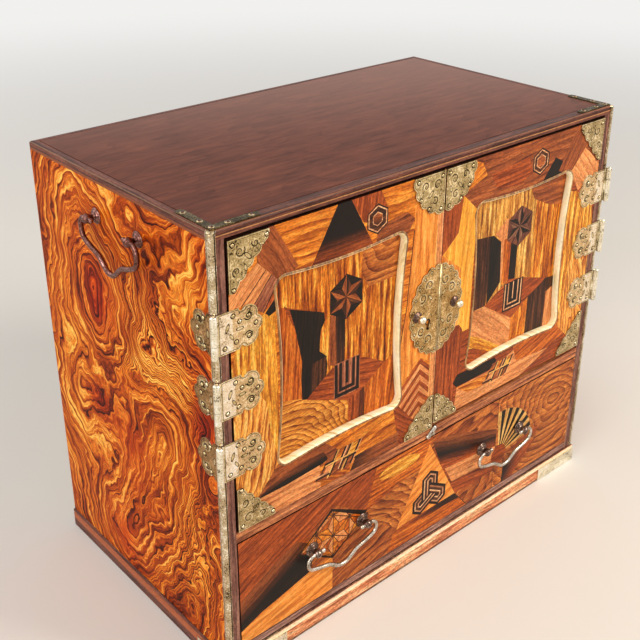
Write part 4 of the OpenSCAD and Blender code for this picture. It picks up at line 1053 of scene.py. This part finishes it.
# Round rod along a smooth curve in its own plane, thinner towards the posts, with a pin
# through each post and a small ball inside it
def makeBail(name, spec):
    half, drop = spec["half"], spec["drop"]
    side = np.array([(half + 4.2, 0), (half + 6.8, -drop * 0.04), (half + 9.5, -drop * 0.2),
        (half + 7.5, -drop * 0.46), (half - 1, -drop * 0.6), (half * 0.55, -drop * 0.72),
        (half * 0.22, -drop * 0.95), (0, -drop)])
    path = smoothPath(np.concatenate([side[:-1] * [-1, 1], side[::-1]]), 8)
    way = np.gradient(path, axis=0)
    normal = np.stack([-way[:, 1], way[:, 0]], 1) / np.linalg.norm(way, axis=1)[:, None]
    t = np.arange(16) / 16 * 2 * np.pi
    share = np.abs(np.linspace(-1, 1, len(path)))
    r = spec["rod"] * (1 - 0.14 * share ** 2)[:, None]
    flat = path[:, None, :] + normal[:, None, :] * (r * np.cos(t))[..., None]
    tube = np.stack([flat[..., 0], -r * np.sin(t) + 0 * flat[..., 0], flat[..., 1]], -1)
    first, last = (tube[k].mean(0, keepdims=True).repeat(16, 0)[None] for k in (0, -1))
    points = np.concatenate([first, tube, last]).reshape(-1, 3)
    parts = [(points, gridFaces(len(path) + 2, 16))]
    pin = [(0, -2.2), (1.35, -1.9), (1.35, 9.4), (0, 9.4)]
    for s in (-1, 1):
        for profile, back in ((pin, 5.0), (ballProfile(1.9, 0, steps=9), 5.6)):
            parts.append(lathePieces(profile, [(s * (half - back), 0, 0)], (s, 0, 0), 16))
    points, faces = joinParts(parts)
    a = math.radians(spec["turn"])
    points = points @ np.array([[math.cos(a), math.sin(a), 0], [-math.sin(a), math.cos(a), 0],
        [0, 0, 1]])
    makePiece(name, points + [spec["x"], spec["y"], spec["z"]], faces, [metal(spec["metal"])],
        spec["body"], [spec["node"]])


for name, spec in bails.items():
    makeBail(name, spec)

# ---- posts: lobed rosette, neck and ball ----
postProfile = [(0, 0), (6, 0), (6, 0.5), (5.4, 1.1), (4.4, 1.3), (4.2, 1.6), (3.4, 2.0), (2.0, 2.6),
    (1.8, 3.2)]

pullPosts = [(bails[name]["x"] + s * pull["half"], door["face"], pull["z"])
    for name in ("pullLeft", "pullRight") for s in (-1, 1)]
points, faces = lathePieces(postProfile + ballProfile(3.6, 6.5, 0.6), pullPosts, (0, -1, 0))
makePiece("pullPostsTurned", points, faces, [metal("bronzeGrey")], "drawer",
    ["pull_posts"])
parts = [lathePieces(postProfile + ballProfile(3.6, 7.5, 0.6), [(side * caseSide,
    sideBail["y"] + s * sideBail["half"], sideBail["z"]) for s in (-1, 1)], (side, 0, 0))
    for side in (-1, 1)]
points, faces = joinParts(parts)
makePiece("bailPostsTurned", points, faces, [metal("copperBrown")], "case",
    ["bail_posts"])

# ---- knobs, at the height of the lock plate's middle ----
plateFace = door["face"] - 1
lock = {"x": -3.0, "z": 236.9, "rx": 29.0, "rz": 38.0}
knobFoot = [(0, 0), (4.6, 0), (4.6, 0.5), (4.1, 1.0), (3.6, 1.2), (3.3, 1.7), (2.2, 2.0),
    (1.6, 2.4), (1.6, 3.2)]
for x, name, node, body in ((-24, "knobLeft", "knob_left", "left_door"),
        (17, "knobRight", "knob_right", "right_door")):
    foot, ball = (lathePieces(profile, [(x, plateFace, lock["z"])], (0, -1, 0))
        for profile in (knobFoot, ballProfile(3.2, 5.2)))
    points, faces = joinParts([foot, ball])
    makePiece(name, points, faces, [metal("bronzeGrey"), metal("paleBrass")], body,
        [node], index=[0] * len(foot[1]) + [1] * len(ball[1]))

# ---- engraved mounts ----
# Outlines as on the solid part: the radius dips between the lobes, and waist draws the middle
# of a corner plate in
def lobed(rx, rz, start, end, lobes, waist=0.0):
    a = np.linspace(0, 1, lobes * 6 + 1)
    turn = np.radians(start + (end - start) * a)
    dip = 1 - 0.06 * (1 - np.abs(np.sin(math.pi * lobes * a)))
    k = dip * (1 - waist * np.abs(np.sin(2 * turn)))
    return np.stack([rx * k * np.cos(turn), rz * k * np.sin(turn)], 1)


# A cut line that winds in from radius, with a band of painted highlight beside it for a raised
# edge, hand 1 anticlockwise
def curl(x, z, radius, turn, hand=1):
    t = np.linspace(0, 1, 14)
    a = np.radians(turn) + hand * 7.4 * t
    ray = np.stack([np.cos(a), np.sin(a)], 1)
    r, half = (radius * (1 - 0.78 * t))[:, None], (0.62 - 0.3 * t)[:, None]
    made = []
    for kind, out, k in (("rimBrass", 0.8, 1.5), ("grooveBrass", 0, 0.8)):
        made.append(veneer(kind, np.concatenate([(r + out + half * k) * ray,
            ((r + out - half * k) * ray)[::-1]]) + [x, z]))
    return made


# A leaf between two cut lines: a pale pointed oval, painted highlight for raised relief, with a
# dark outline
def leaf(x, z, length, turn):
    t = np.linspace(0, math.pi, 7)
    a = math.radians(turn)
    u = np.concatenate([np.cos(t), -np.cos(t[1:-1])]) * length / 2
    v = np.concatenate([np.sin(t), -np.sin(t[1:-1])]) * length / 5
    made = []
    for kind, k in (("grooveBrass", 1.2), ("rimBrass", 0.85)):
        made.append(veneer(kind, np.stack([x + k * (u * math.cos(a) - v * math.sin(a)),
            z + k * (u * math.sin(a) + v * math.cos(a))], 1)))
    return made


# Rim, groove and face of one mount, a paler band where one is given, then its scrolls and leaves
# with their painted highlights
def engrave(face, outline, curls, leaves, paleBand=None):
    outline = veneer(face, outline)["points"]
    made = [veneer("caseBrass" if face == "caseBrass" else "rimBrass", outline),
        veneer("cutBrass", inset(outline, 0.8)), veneer(face, inset(outline, 1.15))]
    if paleBand:
        made.append(veneer("wornBrass", box(*paleBand), inside=made[2]))
    for x, z, radius, turn, hand in curls:
        made += curl(x, z, radius, turn, hand)
    for x, z, length, turn in leaves:
        made += leaf(x, z, length, turn)
    return made


hinge = {"half": 14.5, "lobe": 7.25, "middle": 5.8, "knuckle": 3.9, "doorLeaf": 38.5,
    "caseLeaf": 27.0, "doorPin": 207, "casePin": 111.5}


# Outline of a hinge leaf of width w: u from the pin, a notch and three lobes
def leafOutline(w):
    half, lobe, middle = hinge["half"], hinge["lobe"], hinge["middle"]
    start, notch = w - 1.5 * lobe, w - 2.2 * lobe
    a = np.radians(np.linspace(180, 360, 9))
    dent = np.stack([notch + lobe / 3 * np.cos(a), half + lobe / 3 * np.sin(a)], 1)
    turn = np.radians(np.linspace(90, 0, 22))
    ray = np.stack([np.cos(turn), np.sin(turn)], 1)
    reach = []
    for centre, r in (((0, half - lobe), lobe), ((w - middle - start, 0), middle)):
        along = ray @ np.array(centre)
        root = along ** 2 - np.dot(centre, centre) + r ** 2
        reach.append(np.where(root > 0, along + np.sqrt(np.maximum(root, 0)), 0))
    end = ray * np.max(reach, 0)[:, None] + [start, 0]
    upper = np.concatenate([[(hinge["knuckle"], half)], dent, end])
    return np.concatenate([upper, (upper * [1, -1])[-2::-1]])


nailProfile = [(0, 1.0), (0.6, 0.9), (1.05, 0.64), (1.35, 0.24), (1.4, 0)]


def nails(name, places, axis, body, head="nailBrass", ring="cutBrass"):
    heads = lathePieces(nailProfile[::-1], places, axis, 12)
    rings = lathePieces([(0, 0), (2.0, 0), (2.0, 0.08), (0, 0.08)], places, axis, 12)
    points, faces = joinParts([heads, rings])
    makePiece(name, points, faces, [metal(head), metal(ring)], body,
        index=[0] * len(heads[1]) + [1] * len(rings[1]))


hinges = (286.2, 238.2, 190.2)
field = veneer(None, box(-230, 10, 230, 360))


# A point of the lock plate, by its angle and its shares of the plate's radii
def onLock(degrees, shareX, shareZ):
    a = math.radians(degrees)
    return (lock["x"] + shareX * lock["rx"] * math.cos(a),
        lock["z"] + shareZ * lock["rz"] * math.sin(a))


for side, body, label in ((-1, "left_door", "Left"), (1, "right_door", "Right")):
    top, low, size = door["top"], door["leftLow"], 33.0
    if side > 0:
        low, size = door["rightLow"], 28.05
    sheet, spots = [field], []

    # One mount, drawn for the left door; the right one is its mirror image. Its scrolls and
    # leaves, nails and paler band are given from x, z.
    def mount(face, outline, x, z, scrolls, leaves, nailSpots, paleBand=None):
        def turn(degrees):
            return degrees if side < 0 else 180 - degrees

        if paleBand:
            a, b = sorted(-side * (x + u) for u in paleBand)
            paleBand = (a, z - hinge["half"] - 0.5, b, z + hinge["half"] + 0.5)
        sheet.extend(engrave(face, np.asarray(outline) * [-side, 1],
            [(-side * (x + u), z + v, r, turn(t), -side * hand) for u, v, r, t, hand in scrolls],
            [(-side * (x + u), z + v, n, turn(t)) for u, v, n, t in leaves], paleBand))
        spots.extend((-side * (x + u), plateFace, z + v) for u, v in nailSpots)

    corner = [(0, 0)]
    mount("engravedBrass", np.concatenate([corner, lobed(33, 33, 180, 270, 5)]) + [-0.8, top],
        0, top, [(-9, -9, 3.8, 40, 1), (-21, -8, 3.6, 200, -1), (-11, -21, 3.4, 120, -1)],
        [(-15.5, -15, 6, 225), (-25, -13.5, 4.5, 240), (-5.5, -16, 5, 260)],
        [(-28.5, -3.5), (-25.5, -17.5), (-17, -26), (-4.5, -28.5), (-4, -3.5)])
    k = size / 33
    mount("engravedBrass", np.concatenate([corner, lobed(size, size, 90, 180, 5, 0.16)])
        + [-0.8, low], 0, low, [(-8.5 * k, 9 * k, 3.8 * k, 300, 1),
            (-19 * k, 7 * k, 3.2 * k, 160, -1), (-7 * k, 20 * k, 3.0 * k, 60, -1)],
        [(-13.5 * k, 14 * k, 5.5, 135), (-24 * k, 7.5 * k, 4.4, 170), (-4.5 * k, 25 * k, 4, 100)],
        [(-28.5 * k, 3.2), (-19.5 * k, 15.5 * k), (-3.6, 28.5 * k), (-3.6, 3.4)])
    for z, way, start in ((top, -1, 270), (low, 1, 0)):
        mount("engravedBrass", np.concatenate([corner, lobed(34, 38, start, start + 90, 5, 0.24)])
            + [-door["edge"], z], -door["edge"], z, [(9, way * 9, 4.2, 30, way),
                (21, way * 6.5, 3.0, 150, -way), (6, way * 22, 3.4, 250, way)],
            [(15, way * 13.5, 6.5, 45 * way), (13, way * 21, 5, 75 * way),
                (26, way * 8.5, 4.5, 10 * way)],
            [(3.5, way * 3.6), (30, way * 3.4), (3.5, way * 34)])
    # half of the lock plate: cut at the meeting line, with a ring in each scallop
    oval = lobed(lock["rx"], lock["rz"], 0, 360, 22)[:-1] + [lock["x"], lock["z"]]
    oval = oval[oval[:, 0] * side > 3.2]
    order = np.argsort(np.arctan2(oval[:, 1] - lock["z"], side * (oval[:, 0] - lock["x"]) + 0.01))
    share = (side * door["free"] - lock["x"]) / lock["rx"]
    reach = lock["rz"] * math.sqrt(1 - share ** 2) * 0.985
    oval = np.concatenate([[(side * door["free"], lock["z"] - reach)], oval[order],
        [(side * door["free"], lock["z"] + reach)]])
    curls = [(*onLock(t, 0.64, 0.68), 4.0, t + 90, 1 if i % 2 else -1)
        for i, t in enumerate((32, 62, 118, 148, 212, 242, 298, 328))]
    leaves = [(*onLock(t, 0.4, 0.42), 5.5, t) for t in (50, 130, 230, 310)]
    sheet += engrave("lockBrass", oval, *([c for c in cuts if c[0] * side > 3.5]
        for cuts in (curls, leaves)))
    for t in (np.arange(22) + 0.5) * 360 / 22:
        x, z = onLock(t, 0.88, 0.895)
        if x * side > 2.6:
            sheet += [veneer("cutBrass", regular(x, z, 1.5, 8)),
                veneer("rimBrass", regular(x, z, 0.9, 8))]
    if side < 0:
        # the keyhole
        sheet += [veneer("cutBrass", regular(-12, 228.9, 2.7, 14)),
            strip("cutBrass", (-12, 228.9), (-12, 222.6), 2.6),
            veneer(None, regular(-12, 228.9, 1.7, 14)),
            strip(None, (-12, 228.9), (-12, 223.8), 1.7)]
    # door leaves, each paler in a band beside the pin
    for z in hinges:
        mount("hingeBrass", leafOutline(hinge["doorLeaf"]) + [-hinge["doorPin"], z],
            -hinge["doorPin"], z, [(27.5, 7.2, 3.6, 200, 1), (27.5, -7.2, 3.6, 160, -1)],
            [(20.5, 0, 5.5, 0), (11, 3, 6, 70), (14, -4, 5, 120)],
            [(15.5, 10.3), (8.5, -10.3), (20.5, 5), (33.2, 0), (17.5, -8.5), (27.5, 7.2),
                (27.5, -7.2)], paleBand=(3, 15))
    layMarquetry("engravingDoor" + label, sheet, (0, plateFace - door["rise"], 0), body,
        31)
    nails("nailsDoor" + label, spots, (0, -1, 0), body)
    # case leaves, in a plane that runs from the back to the front
    sheet, spots = [field], []
    leafFace, pin = caseSide + 1, hinge["casePin"]
    for z in hinges:
        outline = leafOutline(hinge["caseLeaf"]) * [-1, 1] + [pin, z]
        sheet += engrave("caseBrass", outline if side < 0 else outline * [-1, 1],
            [(-side * (pin - 16.2), z + 7.2, 3.4, 200, side),
                (-side * (pin - 16.2), z - 7.2, 3.4, 160, -side)], [(-side * (pin - 8), z, 6, 90)])
        spots += [(side * leafFace, u - pin, z + v)
            for u, v in ((12, 10), (12, -10), (19, 1), (17.5, 7.5), (17.5, -7.5))]
    layMarquetry("engravingCase" + label, sheet, (side * (leafFace + door["rise"]), 0, 0), "case",
        37, u=(0, side, 0))
    nails("nailsCase" + label, spots, (side, 0, 0), "case")
    # on the straps of the top
    nails("nailsTop" + label, [(side * x, y, 356.8) for x, y in ((200, -104.1), (188, -104.1),
        (170, -104.1), (200, -92), (200, -74))], (0, 0, 1), "case", "bronzeGrey", "rimBrass")
# half-round closing strips on the left door's edge, over most of the gap
turn = np.arange(10) / 10 * 2 * np.pi
for name, y, low, high, r, kind, slot in (("closingBead", -109.2, 128.9, 347.5, 0.8,
        wood("salmonCedar", "z"), "door_veneer"), ("closingStrip", -110.4, 200.2, 273.6, 0.6,
        metal("rimBrass"), "lock_metal")):
    ring = np.stack([-0.45 + r * np.cos(turn), y + r * np.sin(turn)], 1)
    points = np.column_stack([np.tile(ring, (2, 1)), np.repeat([low, high], 10)])
    faces = gridFaces(2, 10) + [list(range(10))[::-1], list(range(10, 20))]
    makePiece(name, points, faces, [kind], "left_door")
print("mounts engraved")

# ---- floor, light and background ----
backdropColour = "#F1F0EE"
floorMaterial, tree = newMaterial("paleFloor")
matte = add(tree, "BsdfPrincipled", {"Base Color": linearColour("#E6E3DE"), "Roughness": 0.7,
    "Specular IOR Level": 0.2})
# further off the floor takes the backdrop's colour, for the camera alone
away = add(tree, "VectorMath", {0: add(tree, "TexCoord", out="Object")}, out="Value",
    operation="LENGTH")
away = add(tree, "MapRange", {"Value": away, "From Min": 0.6, "From Max": 2.4},
    interpolation_type="SMOOTHSTEP")
away = add(tree, "Math", {0: away, 1: add(tree, "LightPath", out="Is Camera Ray")},
    operation="MULTIPLY")
backdrop = add(tree, "Emission", {"Color": linearColour(backdropColour), "Strength": 1.0})
surface = add(tree, "MixShader", {0: away, 1: matte, 2: backdrop})
add(tree, "OutputMaterial", {"Surface": surface})
floorMesh = bpy.data.meshes.new("floor")
floorMesh.from_pydata([(x, y, -0.0002) for x, y in box(-6, -6, 6, 6)], [], [(0, 1, 2, 3)])
floorMesh.materials.append(floorMaterial)
floor = bpy.data.objects.new("floor", floorMesh)
bpy.context.scene.collection.objects.link(floor)

lamps = {
    "key": {"place": (900, -1300, 1250), "size": 0.8, "power": 30, "colour": "#FFF3E4"},
    "fill": {"place": (-1500, -500, 900), "size": 1.2, "power": 17, "colour": "#FFF8F0"},
    "back": {"place": (-900, 1400, 1300), "size": 1.3, "power": 12, "colour": "#FFFFFF"},
}
for name, spec in lamps.items():
    data = bpy.data.lights.new(name, "AREA")
    data.size, data.energy = spec["size"], spec["power"]
    data.color = linearColour(spec["colour"])[:3]
    lamp = bpy.data.objects.new(name, data)
    lamp.location = [v * mm for v in spec["place"]]
    towards = Vector((0, 0, 0.18)) - lamp.location
    lamp.rotation_euler = towards.to_track_quat("-Z", "Y").to_euler()
    bpy.context.scene.collection.objects.link(lamp)

world = bpy.data.worlds.new("studio")
world.use_nodes = True
tree = world.node_tree
tree.nodes.clear()
ray = add(tree, "LightPath", out=None)
sky = add(tree, "Background", {"Color": linearColour("#EDEBE8"), "Strength": 0.4})
shown = add(tree, "Background", {"Color": linearColour(backdropColour), "Strength": 1.0})
seen = add(tree, "Math", {0: ray["Is Camera Ray"], 1: ray["Is Glossy Ray"]}, operation="ADD")
seen = add(tree, "Math", {0: seen, 1: ray["Is Transmission Ray"]}, operation="ADD")
surface = add(tree, "MixShader", {0: seen, 1: sky, 2: shown})
add(tree, "OutputWorld", {"Surface": surface})
bpy.context.scene.world = world
bpy.context.scene.view_settings.view_transform = "Standard"
